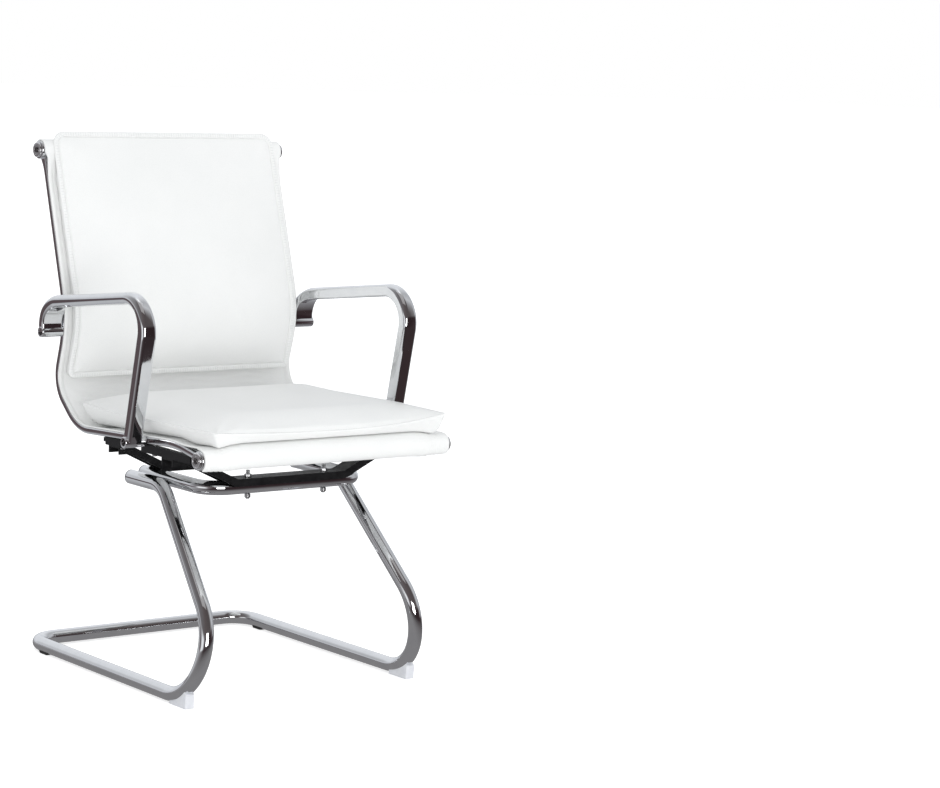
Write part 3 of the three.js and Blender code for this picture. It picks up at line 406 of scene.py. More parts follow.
def tube(shell, route, radius, wall, sides=56, deep=12.0):
    """A bent tube whose ends are open by its wall for a short way."""
    def ring(point, pair, size, shift=0.0, tangent=None):
        base = point if tangent is None else point + tangent * shift
        return [base + size * (math.cos(2 * math.pi * k / sides) * pair[0]
                               + math.sin(2 * math.pi * k / sides) * pair[1]) for k in range(sides)]
    pairs = route.frames()
    rings = [ring(p, pair, radius) for p, pair in zip(route.at, pairs)]
    edge = 0.5
    start, end = route.at[0], route.at[-1]
    head, tail = route.heading[0], route.heading[-1]
    before = [ring(start, pairs[0], radius - wall, deep, head), ring(start, pairs[0], radius - wall, 0.0, head),
              ring(start, pairs[0], radius - edge, 0.0, head)]
    after = [ring(end, pairs[-1], radius - edge, 0.0, tail), ring(end, pairs[-1], radius - wall, 0.0, tail),
             ring(end, pairs[-1], radius - wall, -deep, tail)]
    rings[0] = ring(start, pairs[0], radius, edge, head)
    rings[-1] = ring(end, pairs[-1], radius, -edge, tail)
    shell.loft(before + rings + after)


def rounded_rectangle(width, height, radii, steps=8):
    """Corner radii go round from low x and low y, anticlockwise."""
    points = []
    for index, (sx, sy) in enumerate(((-1, -1), (1, -1), (1, 1), (-1, 1))):
        radius = radii[index]
        cx, cy = sx * (width / 2 - radius), sy * (height / 2 - radius)
        for step in range(steps + 1):
            angle = math.pi + index * math.pi / 2 + math.pi / 2 * step / steps
            points.append((cx + radius * math.cos(angle), cy + radius * math.sin(angle)))
    return points


# ---------------------------------------------------------------- the rails' line

side_line = Route([(0.0, y, z, r) for y, z, r in LINE], arc_step=2.0, straight_step=4.0)
LENGTH = side_line.length


def line_at(run):
    """Y, Z and heading of the rails' line at a run from the top roll."""
    run = np.asarray(run, float)
    y = np.interp(run, side_line.run, side_line.at[:, 1])
    z = np.interp(run, side_line.run, side_line.at[:, 2])
    ty = np.interp(run, side_line.run, side_line.heading[:, 1])
    tz = np.interp(run, side_line.run, side_line.heading[:, 2])
    size = np.hypot(ty, tz)
    return y, z, ty / size, tz / size


back_part = side_line.at[:, 2] > 424.5 + 50.0
last_back = int(np.argmin(back_part)) if not back_part.all() else len(back_part)
back_z = side_line.at[:last_back, 2][::-1]
back_y = side_line.at[:last_back, 1][::-1]
back_tz = side_line.heading[:last_back, 2][::-1]
seat_first = int(np.argmax(side_line.at[:, 2] < 470.0))
seat_y = side_line.at[seat_first:, 1][::-1]
seat_z = side_line.at[seat_first:, 2][::-1]


def back_at(z):
    """Y of the line and its rise at a height on the back; it goes on straight above the roll."""
    z = np.asarray(z, float)
    slope = (back_y[-1] - back_y[-2]) / (back_z[-1] - back_z[-2])
    y = np.interp(z, back_z, back_y)
    y = np.where(z > back_z[-1], back_y[-1] + (z - back_z[-1]) * slope, y)
    return y, np.interp(z, back_z, back_tz)


def seat_at(y):
    return np.interp(np.asarray(y, float), seat_y, seat_z)


def run_at_back(z):
    return float(np.interp(z, back_z, side_line.run[:last_back][::-1]))


def run_at_seat(y):
    return float(np.interp(y, seat_y, side_line.run[seat_first:][::-1]))


# ---------------------------------------------------------------- chromed frame

sled = Shell()
half = [(1, LEG_X, LEG_END_Y, LEG_END_Z, 0.0), (1, LEG_X, SHOULDER_Y, LEG_END_Z, SHOULDER_R),
        (1, RUNNER_X, KNEE_Y, RUNNER_Z, KNEE_R), (1, RUNNER_X, RUNNER_REAR, RUNNER_Z, REAR_R)]
left_half = [(-x, y, z, r) for _, x, y, z, r in half]
right_half = [(x, y, z, r) for _, x, y, z, r in half][::-1]
sled_route = Route(left_half + right_half, arc_step=2.0, straight_step=18.0)
tube(sled, sled_route, TUBE_R, TUBE_WALL)
sled_piece = stands_for(sled.piece("sled_base_tube", CHROME, "chrome"), "sled_tube")

cradle = Shell()
cradle_route = Route([(-CRADLE_X, CRADLE_END, CRADLE_Z, 0.0), (-CRADLE_X, CRADLE_Y, CRADLE_Z, CRADLE_R),
                      (CRADLE_X, CRADLE_Y, CRADLE_Z, CRADLE_R), (CRADLE_X, CRADLE_END, CRADLE_Z, 0.0)],
                     arc_step=2.5, straight_step=18.0)
tube(cradle, cradle_route, TUBE_R, TUBE_WALL)
cradle_piece = stands_for(cradle.piece("cradle_bent_tube", CHROME, "chrome"), "cradle_tube")

# Weld beads where the cradle's ends lie against the legs
for side, sign in (("left", -1), ("right", 1)):
    bead = Shell()
    middle = np.array([sign * (LEG_X + CRADLE_X) / 2, 0.0, (LEG_END_Z + CRADLE_Z) / 2])
    toward = np.array([sign * (LEG_X - CRADLE_X), 0.0, LEG_END_Z - CRADLE_Z])
    toward = toward / np.linalg.norm(toward)
    up = np.array([-toward[2], 0.0, toward[0]]) * (1 if toward[0] > 0 else -1)
    for lift in (-1, 1):
        rings = []
        for k in range(41):
            share = k / 40
            y = -66.0 + 88.0 * share
            size = 2.0 * math.sqrt(max(0.0, math.sin(math.pi * min(1.0, max(0.0, share))))) * (
                1 + 0.14 * math.sin(2 * math.pi * 15 * share)) + 0.15
            centre = middle + up * lift * 4.4 + np.array([0.0, y, 0.0])
            rings.append([centre + size * (math.cos(a) * toward * 1.25 + math.sin(a) * up)
                          for a in np.linspace(0, 2 * math.pi, 13)[:-1]])
        bead.loft(rings)
    stands_for(bead.piece("weld_bead_" + side, CHROME, "chrome", 60.0))


def plug(x, end_y, z):
    shell = Shell()
    head = end_y + 0.3 + 2.5
    shell.lathe([(0, end_y - 9), (9.6, end_y - 9), (10.2, end_y - 8), (10.2, end_y + 0.3), (TUBE_R, end_y + 0.3),
                 (TUBE_R, head - 1.1), (TUBE_R - 0.25, head - 0.55), (TUBE_R - 0.8, head - 0.12),
                 (TUBE_R - 1.4, head), (4.0, head), (3.6, head - 0.3), (0, head - 0.3)], along_y(x, z))
    return shell


for side, sign in (("left", -1), ("right", 1)):
    stands_for(plug(sign * LEG_X, LEG_END_Y, LEG_END_Z).piece("leg_end_plug_" + side, GREY_PLASTIC, "grey_plastic"),
               "leg_plug_" + side)
    stands_for(plug(sign * CRADLE_X, CRADLE_END, CRADLE_Z).piece("cradle_end_plug_" + side, GREY_PLASTIC,
                                                                "grey_plastic"), "cradle_plug_" + side)


def rail_section(floor):
    """Across and lift of the rail's outline; inside its lip the front face lies at the floor given."""
    half, lip = RAIL_W / 2, RAIL_W / 2 - RAIL_LIP
    soft = 0.7 if floor < RAIL_T / 2 - 1 else RAIL_R
    points = []

    def arc(across, lift, radius, start):
        for step in range(9):
            angle = math.radians(start + 90 * step / 8)
            points.append((across + radius * math.cos(angle), lift + radius * math.sin(angle)))

    arc(half - RAIL_R, -RAIL_T / 2 + RAIL_R, RAIL_R, -90)
    for step in range(8):
        angle = math.radians(86 * step / 7)
        points.append((half - RAIL_R + RAIL_R * math.cos(angle), RAIL_T / 2 - RAIL_R + RAIL_R * math.sin(angle)))
    top = RAIL_T / 2 - 0.03
    points += [(lip + 0.05, top), (lip, top - 0.25 * (top - floor) - 0.01), (lip - 0.02, floor)]
    arc(-half + soft, floor - soft, soft, 90)
    arc(-half + RAIL_R, -RAIL_T / 2 + RAIL_R, RAIL_R, 180)
    return points


def rail(sign):
    shell = Shell()
    rings = []
    last = side_line.run[-1]
    runs = np.concatenate([side_line.run, [REBATE_RUN, REBATE_RUN + 0.3, last - REBATE_RUN, last - REBATE_RUN - 0.3]])
    for run in np.sort(runs):
        y, z, ty, tz = line_at(run)
        rebated = REBATE_RUN + 0.2 < run < last - REBATE_RUN - 0.2
        rings.append([(sign * (RAIL_MID + across), y + tz * lift, z - ty * lift)
                      for across, lift in rail_section(REBATE_LIFT if rebated else RAIL_T / 2 - 0.02)])
    shell.loft(rings)
    for y, z in (TOP_ROLL, FRONT_ROLL):
        shell.lathe([(0, RAIL_X), (EYE_R - 1.2, RAIL_X), (EYE_R - 0.35, RAIL_X + 0.35), (EYE_R, RAIL_X + 1.2),
                     (EYE_R, EYE_FACE - 1.6), (EYE_R - 0.45, EYE_FACE - 0.5), (EYE_R - 1.6, EYE_FACE), (0, EYE_FACE)],
                    along_x(sign, y, z), 64)
    # The rear edge fairs into the top eye
    y0, z0 = TOP_ROLL
    foot_y, rise = back_at(z0 - EYE_TAIL)
    tangent = side_line.heading[0]
    rear = np.array([-tangent[2], tangent[1]])
    low = np.array([float(foot_y), z0 - EYE_TAIL])
    outline = []
    for step in range(15):
        share = step / 14
        centre = low + (np.array([y0, z0]) - low) * share
        reach = RAIL_T / 2 + (EYE_R - RAIL_T / 2) * share ** 1.6 - 0.25
        outline.append((centre, reach))
    rings = []
    for centre, reach in outline:
        ring = []
        for a, b in rounded_rectangle(RAIL_W - 1.0, 2.0, [0.9] * 4, 3):
            far = centre + rear * (reach - 1.0 + b)
            near = centre + rear * 2.0
            spot = far if b > 0 else near
            ring.append((sign * RAIL_MID + a, spot[0], spot[1]))
        rings.append(ring)
    shell.loft(rings)
    return shell


def socket_screw(sign, y, z, seat, head_r, head_h, shank_r, shank, socket, depth):
    shell = Shell()
    crown = seat + head_h
    profile = [(0, seat - shank), (shank_r - 0.5, seat - shank), (shank_r, seat - shank + 0.8), (shank_r, seat),
               (head_r, seat), (head_r, crown - 0.7), (head_r - 0.22, crown - 0.22), (head_r - 0.7, crown),
               (socket * 1.22, crown), (socket, crown - 0.25), (socket, crown - depth), (0, crown - depth - 0.3)]
    shell.lathe(profile, along_x(sign, y, z), 48, hexes=(9, 10))
    return shell


def roll_cap(sign, y, z):
    shell = Shell()
    base = EYE_FACE + 0.3
    face = base + CAP_H
    profile = [(3.3, base), (CAP_R, base), (CAP_R, face - 1.6), (CAP_R - 0.35, face - 0.6), (CAP_R - 1.1, face - 0.1),
               (CAP_R - 2.0, face), (CAP_RING - 0.6, face), (CAP_RING - 0.9, face - 0.3), (CAP_RING - 1.1, face - 1.3),
               (CAP_RING - 2.0, face - 1.3), (CAP_RING - 2.2, face - 0.4), (CAP_RING - 2.5, face - 0.15),
               (CAP_DISH + 0.2, face - 0.15), (CAP_DISH, face - 0.4), (CAP_DISH - 0.3, face - CAP_DEPTH),
               (3.3, face - CAP_DEPTH)]
    shell.lathe(profile, along_x(sign, y, z), 64)
    return shell


def armrest(sign):
    shell = Shell()
    front_y, front_z = ARM_BOSS_FRONT
    rear_y, rear_z = ARM_BOSS_REAR
    route = Route([(0, front_y, front_z, 0), (0, *ARM_FRONT), (0, *ARM_REAR), (0, rear_y, rear_z, 0)],
                  arc_step=2.0, straight_step=12.0)
    span = ARM_BOSS_END - RAIL_OUT - 0.3
    boss_mid = (ARM_BOSS_END + RAIL_OUT + 0.3) / 2
    web_start = ARM_REAR[0] - ARM_REAR[2]
    rings = []
    for point, tangent in zip(route.at, route.heading):
        share = float(smooth(point[1], web_start, rear_y))
        width = ARM_W + (span - 0.6 - ARM_W) * share
        thick = ARM_T + (ARM_WEB - ARM_T) * share
        centre = ARM_X + (boss_mid - ARM_X) * share
        round_off = ARM_SOFT + (ARM_FULL - ARM_SOFT) * float(smooth(point[2], 610.0, 668.0))
        radii = [r + (ARM_EDGE - r) * share for r in (round_off, ARM_EDGE, round_off, round_off)]
        rings.append([(sign * (centre - a), point[1] - tangent[2] * b, point[2] + tangent[1] * b)
                      for a, b in rounded_rectangle(width, thick, radii, 10)])
    shell.loft(rings)
    low = RAIL_OUT + 0.3
    for y, z in (ARM_BOSS_FRONT, ARM_BOSS_REAR):
        shell.lathe([(0, low), (ARM_BOSS_R - 0.6, low), (ARM_BOSS_R, low + 0.6), (ARM_BOSS_R, ARM_BOSS_END - 1.3),
                     (ARM_BOSS_R - 0.4, ARM_BOSS_END - 0.4), (ARM_BOSS_R - 1.3, ARM_BOSS_END),
                     (6.6, ARM_BOSS_END), (6.1, ARM_BOSS_END - 0.5), (6.1, ARM_BOSS_END - 7.8),
                     (0, ARM_BOSS_END - 7.8)], along_x(sign, y, z), 64)
    return shell


for side, sign in (("left", -1), ("right", 1)):
    stands_for(rail(sign).piece("seat_rail_" + side, CHROME, "chrome"), "side_rail_" + side)
    stands_for(armrest(sign).piece("arm_loop_" + side, CHROME, "chrome"), "armrest_" + side)
    for end, (y, z) in (("top", TOP_ROLL), ("front", FRONT_ROLL)):
        stands_for(roll_cap(sign, y, z).piece(end + "_ringed_cap_" + side, SATIN, "chrome"), end + "_cap_" + side)
        seat = EYE_FACE + 0.3 + CAP_H - CAP_DEPTH + 0.3
        # The cap screw takes the dark steel, painted shade for the cap's dish and socket.
        screw = socket_screw(sign, y, z, seat, 4.8, 2.4, 3.0, seat - 224.7 + 11, 2.1, 1.6)
        stands_for(screw.piece(end + "_socket_screw_" + side, RECESS_SHADE_STEEL, "zinc"), end + "_cap_screw_" + side)
    for end, (y, z) in (("front", ARM_BOSS_FRONT), ("rear", ARM_BOSS_REAR)):
        seat = ARM_BOSS_END - 2.5 - 5.0
        # The arm screw takes the same dark steel, painted shade for the boss's counterbore.
        screw = socket_screw(sign, y, z, seat, 5.8, 5.0, 2.5, seat - RAIL_OUT + 12, 3.1, 3.0)
        stands_for(screw.piece(end + "_arm_socket_screw_" + side, RECESS_SHADE_STEEL, "zinc"), "arm_screw_" + end + "_" + side)

# Rolls
for name, node, (y, z) in (("top_cross_tube", "top_roll_tube", TOP_ROLL),
                           ("front_cross_tube", "front_roll_tube", FRONT_ROLL)):
    shell = Shell()
    shell.lathe([(0, -224.0), (ROLL_R - 0.4, -224.7), (ROLL_R, -224.3), (ROLL_R, 224.3), (ROLL_R - 0.4, 224.7),
                 (0, 224.0)], along_x(1, y, z), 48)
    stands_for(shell.piece(name, ZINC, "zinc"), node)


def roll_radius(x, middle, end):
    share = np.clip((np.abs(x) - (224.7 - FOAM_TAPER)) / FOAM_TAPER, 0.0, 1.0)
    return middle + (end - middle) * (1 - np.cos(np.pi * share)) / 2


def roll_raise(x):
    return ROLL_RAISE * (1 - smooth(np.abs(x), 165.0, 222.0))


def foam_place(a, b, height):
    """The foam sits a little high on its tube; its bore stays on the tube's axis."""
    outer = math.hypot(a, b) > 12.9
    return height, FRONT_ROLL[0] + a, FRONT_ROLL[1] + b + (float(roll_raise(height)) if outer else 0.0)


shell = Shell()
xs = np.concatenate([np.linspace(-224.5, -188, 14), np.linspace(-160, 160, 9), np.linspace(188, 224.5, 14)])
profile = [(12.8, -224.5)] + [(float(roll_radius(x, FOAM_R, FOAM_END)), float(x)) for x in xs] + [(12.8, 224.5)]
profile.append(profile[0])
shell.lathe(profile, foam_place, 48)
foam_piece = stands_for(shell.piece("foam_sleeve", FOAM, "foam"), "front_roll_foam")


# ---------------------------------------------------------------- sling

def wavy(x, run, seed, wide, long):
    """A smooth, repeatable unevenness between -1 and 1."""
    keep = np.random.default_rng(seed)
    total = np.zeros(np.broadcast(x, run).shape)
    for _ in range(6):
        a, b = keep.uniform(-1, 1, 2)
        total = total + np.sin(a * 2 * np.pi * x / wide + b * 2 * np.pi * run / long + keep.uniform(0, 6.3))
    return total / 6 * 1.8


MID_TOP = ROLL_R + 0.3 + SLING_T / 2
MID_EYE = EYE_R + 0.3 + SLING_T / 2
TOP_EASE, FRONT_EASE = 62.0, 74.0


def front_mid(x):
    return roll_radius(x, FOAM_R + 0.3 + SLING_T / 2, MID_EYE)


def top_mid(x):
    return MID_TOP + (MID_EYE - MID_TOP) * smooth(np.abs(x), 150.0, 221.0)


def ply_lift(x, run):
    """Height of the sheet's middle over the rails' line, with its wrinkles."""
    near_top = 1 - smooth(run, 0.0, TOP_EASE)
    near_front = smooth(run, LENGTH - FRONT_EASE, LENGTH)
    wide = np.abs(x)
    base = SLING_LIFT + (LAP_LIFT - SLING_LIFT) * smooth(wide, 231.0, 239.0)
    seat = smooth(run, run_at_seat(70.0), run_at_seat(10.0)) * (1 - smooth(run, run_at_seat(-190.0), LENGTH - 20.0))
    base = base + SEAT_PUFF * seat * smooth(wide, 110.0, 185.0) * (1 - smooth(wide, 205.0, 237.0))
    lift = base + (top_mid(x) - base) * near_top + (front_mid(x) - base) * near_front
    under_pad = run_at_back(BACK_BOTTOM)
    turn = run_at_seat(60.0)
    inside = 1 - smooth(np.abs(x), 196.0, 224.0)
    open_zone = smooth(run, under_pad - 8, under_pad + 8) * (1 - smooth(run, turn - 60, turn - 10))
    phase = (run - under_pad) / 13.5 + 0.55 * np.sin(x / 61.0) + 0.35 * np.sin(x / 23.0 + 1.1)
    crest = np.maximum(0.0, np.sin(2 * np.pi * phase)) ** 1.4
    lift = lift + 2.1 * crest * open_zone * inside * (0.65 + 0.35 * wavy(x, run, 5, 300, 400))
    # Fans of creases from the rails round the rear of the seat
    reach = smooth(np.abs(x), 120.0, 175.0) * (1 - smooth(np.abs(x), 205.0, 224.0))
    bend = np.exp(-((run - (under_pad + 62)) / 52.0) ** 2)
    fan = np.sin((run - under_pad - 62) / 6.4 + (224 - np.abs(x)) / 9.5 * np.sign(run - under_pad - 62))
    lift = lift + 1.1 * fan * reach * bend
    lift = lift + 0.35 * wavy(x, run, 9, 420, 150) * inside * (1 - near_top) * (1 - near_front)
    return lift


def widened(columns, wide):
    """Stretches the outer columns of the sheet out to a half width."""
    inner = 204.0
    past = inner + (np.abs(columns) - inner) * (wide - inner) / (SLING_X - inner)
    return np.sign(columns) * np.where(np.abs(columns) > inner, past, np.abs(columns))


def sheet_width(run):
    """The sheet laps over the rails' fronts, and over their eyes as far as the caps at the rolls."""
    away = min(run, LENGTH - run)
    return SLEEVE_X + (SLING_WIDE - SLEEVE_X) * float(smooth(away, 8.0, 19.0))


def lifted(x, run, lift):
    y, z, ty, tz = line_at(run)
    return np.stack([x, y + tz * lift, z - ty * lift], axis=-1)


def make_sling():
    columns = np.concatenate([np.linspace(-SLING_X, -200, 24)[:-1], np.linspace(-200, 200, 68),
                              np.linspace(200, SLING_X, 24)[1:]])
    rows = []

    def row(points):
        rows.append(points)

    hem_top, hem_front = 54.0, 78.0
    for run in np.linspace(hem_top, 4.0, 12):
        over = ply_lift(columns, np.full_like(columns, run))
        start = top_mid(columns)
        under = -start + (over - SLING_T - 0.35 + start) * smooth(run, 0.0, hem_top - 10)
        row(lifted(columns, np.full_like(columns, run), under))
    _, _, ty, tz = line_at(0.0)
    for angle in np.linspace(-90, 90, 25):
        up, out = math.cos(math.radians(angle)), math.sin(math.radians(angle))
        xs = widened(columns, SLING_X + (SLEEVE_X - SLING_X) * float(smooth(angle, -86.0, -52.0)))
        size = top_mid(xs)
        row(np.stack([xs, TOP_ROLL[0] + size * (out * tz - up * ty), TOP_ROLL[1] + size * (-out * ty - up * tz)],
                     axis=-1))
    for run in np.linspace(3.0, LENGTH - 3.0, 256):
        runs = np.full_like(columns, run)
        xs = widened(columns, sheet_width(run))
        sheet = lifted(xs, runs, ply_lift(xs, runs))
        sheet[:, 2] += roll_raise(xs) * float(smooth(run, LENGTH - FRONT_EASE, LENGTH - 10))
        row(sheet)
    _, _, ty, tz = line_at(LENGTH)
    for angle in np.linspace(90, -90, 35):
        forth, out = math.cos(math.radians(angle)), math.sin(math.radians(angle))
        xs = widened(columns, SLEEVE_X + (SLING_X - SLEEVE_X) * float(smooth(-angle, 52.0, 86.0)))
        gather = smooth(np.abs(xs), 186.0, 214.0) * (1 - smooth(np.abs(xs), 232.0, 246.0))
        folds = 0.55 * gather * np.sin(np.abs(xs) / 1.55 + 0.9 * np.sin(np.radians(angle) * 5 + np.sign(xs)))
        size = front_mid(xs) + np.maximum(folds, -0.2)
        row(np.stack([xs, FRONT_ROLL[0] + size * (out * tz + forth * ty),
                      FRONT_ROLL[1] + size * (-out * ty + forth * tz) + roll_raise(xs)], axis=-1))
    radii = front_mid(columns)
    for run in np.linspace(LENGTH - 4.0, LENGTH - hem_front, 16):
        runs = np.full_like(columns, run)
        over = ply_lift(columns, runs) + roll_raise(columns) * (1 - smooth(LENGTH - run, 10.0, FRONT_EASE))
        share = smooth(LENGTH - run, 0.0, hem_front - 12)
        under = -radii + roll_raise(columns)
        row(lifted(columns, runs, under + (over - SLING_T - 0.35 - under) * share))
    grid = np.array(rows)
    count_rows, count_cols = grid.shape[:2]
    shell = Shell()
    faces = [(r * count_cols + c, r * count_cols + c + 1, (r + 1) * count_cols + c + 1, (r + 1) * count_cols + c)
             for r in range(count_rows - 1) for c in range(count_cols - 1)]
    shell.add(grid.reshape(-1, 3), faces)
    made = shell.piece("sling_sheet", LEATHER, "leatherette", 80.0)
    thick = made.modifiers.new("thickness", "SOLIDIFY")
    thick.thickness = SLING_T * MM
    thick.offset = 0.0
    length = float(np.linalg.norm(np.diff(grid[:, count_cols // 2], axis=0), axis=1).sum())
    return made, grid, length


sling_piece, sling_grid, sling_length = make_sling()
stands_for(sling_piece, "sling")


# ---------------------------------------------------------------- sewn pads

def edge_lines(half, fine, step):
    """Coordinates from -half to half, fine near both ends."""
    inner = half - fine[-1]
    parts = int(math.ceil(2 * inner / step))
    return np.concatenate([[-half + d for d in fine], np.linspace(-inner, inner, parts + 1)[1:-1],
                           [half - d for d in fine[::-1]]])


def corner_map(a, b, half_a, half_b, radius):
    """Square grid to a rounded outline: corner blocks go onto quarter discs."""
    pa = np.clip((np.abs(a) - (half_a - radius)) / radius, 0.0, 1.0)
    pb = np.clip((np.abs(b) - (half_b - radius)) / radius, 0.0, 1.0)
    both = (pa > 0) & (pb > 0)
    na = np.where(both, half_a - radius + radius * pa * np.sqrt(1 - pb ** 2 / 2), np.abs(a))
    nb = np.where(both, half_b - radius + radius * pb * np.sqrt(1 - pa ** 2 / 2), np.abs(b))
    return np.sign(a) * na, np.sign(b) * nb


def inset_of(a, b, half_a, half_b, radius):
    """Distance in from the rounded outline, and the outward direction."""
    qa, qb = np.abs(a) - (half_a - radius), np.abs(b) - (half_b - radius)
    corner = (qa > 0) & (qb > 0)
    reach = np.hypot(np.maximum(qa, 0), np.maximum(qb, 0))
    distance = np.where(corner, radius - reach, np.minimum(half_a - np.abs(a), half_b - np.abs(b)))
    along_a = half_a - np.abs(a) <= half_b - np.abs(b)
    safe = np.maximum(reach, 1e-6)
    ga = np.where(corner, qa / safe, np.where(along_a, 1.0, 0.0)) * np.sign(a)
    gb = np.where(corner, qb / safe, np.where(along_a, 0.0, 1.0)) * np.sign(b)
    return np.maximum(distance, 0.0), ga, gb


def two_faced(name, front, rear):
    """One closed mesh from two equal grids that share their rim."""
    rows, cols = front.shape[:2]
    rim = np.zeros((rows, cols), bool)
    rim[0], rim[-1], rim[:, 0], rim[:, -1] = True, True, True, True
    index_front = np.arange(rows * cols).reshape(rows, cols)
    index_rear = index_front.copy()
    index_rear[~rim] = rows * cols + np.arange((~rim).sum())
    verts = np.concatenate([front.reshape(-1, 3), rear[~rim]])
    faces = []
    for grid, flip in ((index_front, False), (index_rear, True)):
        for r in range(rows - 1):
            for c in range(cols - 1):
                quad = (grid[r, c], grid[r, c + 1], grid[r + 1, c + 1], grid[r + 1, c])
                faces.append(tuple(int(i) for i in (quad[::-1] if flip else quad)))
    shell = Shell()
    shell.add(verts, faces)
    return shell, index_front, index_rear


def swell(made, held, pressure, cap_out, cap_any, frames=20):
    """Fill a sewn cover: cloth under inner pressure with its seams held, capped, then applied."""
    scene = bpy.context.scene
    group = made.vertex_groups.new(name="held")
    for weight in (1.0, 0.6, 0.25):
        chosen = np.flatnonzero(np.isclose(held, weight))
        if len(chosen):
            group.add([int(i) for i in chosen], weight, "REPLACE")
    count = len(made.data.vertices)
    before = np.empty(count * 3)
    made.data.vertices.foreach_get("co", before)
    normal = np.empty(count * 3)
    made.data.vertices.foreach_get("normal", normal)
    cloth = made.modifiers.new("fill", "CLOTH")
    settings = cloth.settings
    settings.quality = 6
    settings.mass = 0.4
    settings.tension_stiffness = 22
    settings.compression_stiffness = 22
    settings.shear_stiffness = 9
    settings.bending_stiffness = 1.6
    settings.use_pressure = True
    settings.uniform_pressure_force = pressure
    settings.vertex_group_mass = "held"
    settings.effector_weights.gravity = 0
    cloth.collision_settings.use_collision = False
    cloth.collision_settings.use_self_collision = False
    cloth.point_cache.frame_start = 1
    cloth.point_cache.frame_end = frames
    for frame_number in range(1, frames + 1):
        scene.frame_set(frame_number)
    shape = made.evaluated_get(bpy.context.evaluated_depsgraph_get())
    after = np.empty(count * 3)
    shape.data.vertices.foreach_get("co", after)
    made.modifiers.remove(cloth)
    made.vertex_groups.clear()
    scene.frame_set(1)
    shift = (after - before).reshape(-1, 3)
    shift[~np.isfinite(shift).all(axis=1)] = 0.0
    out = (shift * normal.reshape(-1, 3)).sum(axis=1)
    too_far = np.maximum(out - cap_out * MM, 0.0)
    shift = shift - normal.reshape(-1, 3) * too_far[:, None]
    size = np.linalg.norm(shift, axis=1)
    shift = shift * np.minimum(1.0, cap_any * MM / np.maximum(size, 1e-9))[:, None]
    shift[np.isclose(held, 1.0)] = 0.0
    made.data.vertices.foreach_set("co", (before.reshape(-1, 3) + shift).ravel())
    made.data.update()
    print("swelled", made.name, "largest move", round(float(np.linalg.norm(shift, axis=1).max() / MM), 2), "mm")


FINE = [0.0, 0.4, 1.0, 1.7, 2.4, 3.1, 3.9, 4.7, 5.5, 6.3, 7.1, 7.9, 8.7, 9.4, 10.1, 11.0, 12.2, 14.0, 16.4, 19.5, 23.5,
        28.5, 34.5, 41.0]

BACK_MID = (BACK_TOP + BACK_BOTTOM) / 2
BACK_HALF = (BACK_TOP - BACK_BOTTOM) / 2
FLANGE = [(0.0, 20.2), (0.4, 21.8), (1.0, 22.7), (2.0, 23.3), (3.2, 23.5), (4.4, 23.5), (5.2, 23.5), (6.2, 23.5),
          (7.3, 23.2), (8.2, 22.4), (8.9, 21.2), (9.4, 20.5), (10.0, 21.4), (11.0, 22.9)]


def back_radius(b):
    return np.where(b > 0, 23.0, 11.0)


def back_front_height(a, b, inset):
    share = np.clip((inset - 9.0) / (BACK_HALF - 9.0), 0.0, 1.0)
    crown = 22.5 + 17.0 * np.sin(np.pi / 2 * np.minimum(1.0, 1.6 * share)) ** 0.8
    height = np.where(inset < 11.0, np.interp(inset, [d for d, _ in FLANGE], [h for _, h in FLANGE]), crown)
    blend = smooth(inset, 10.0, 13.5)
    rim = np.interp(np.minimum(inset, 11.0), [d for d, _ in FLANGE], [h for _, h in FLANGE])
    return np.where(inset < 13.5, rim * (1 - blend) + np.maximum(crown, rim) * blend, height)


def back_place(a, b, height):
    z = BACK_MID + b
    y, rise = back_at(z)
    return np.stack([a, y + rise * height, z], axis=-1)


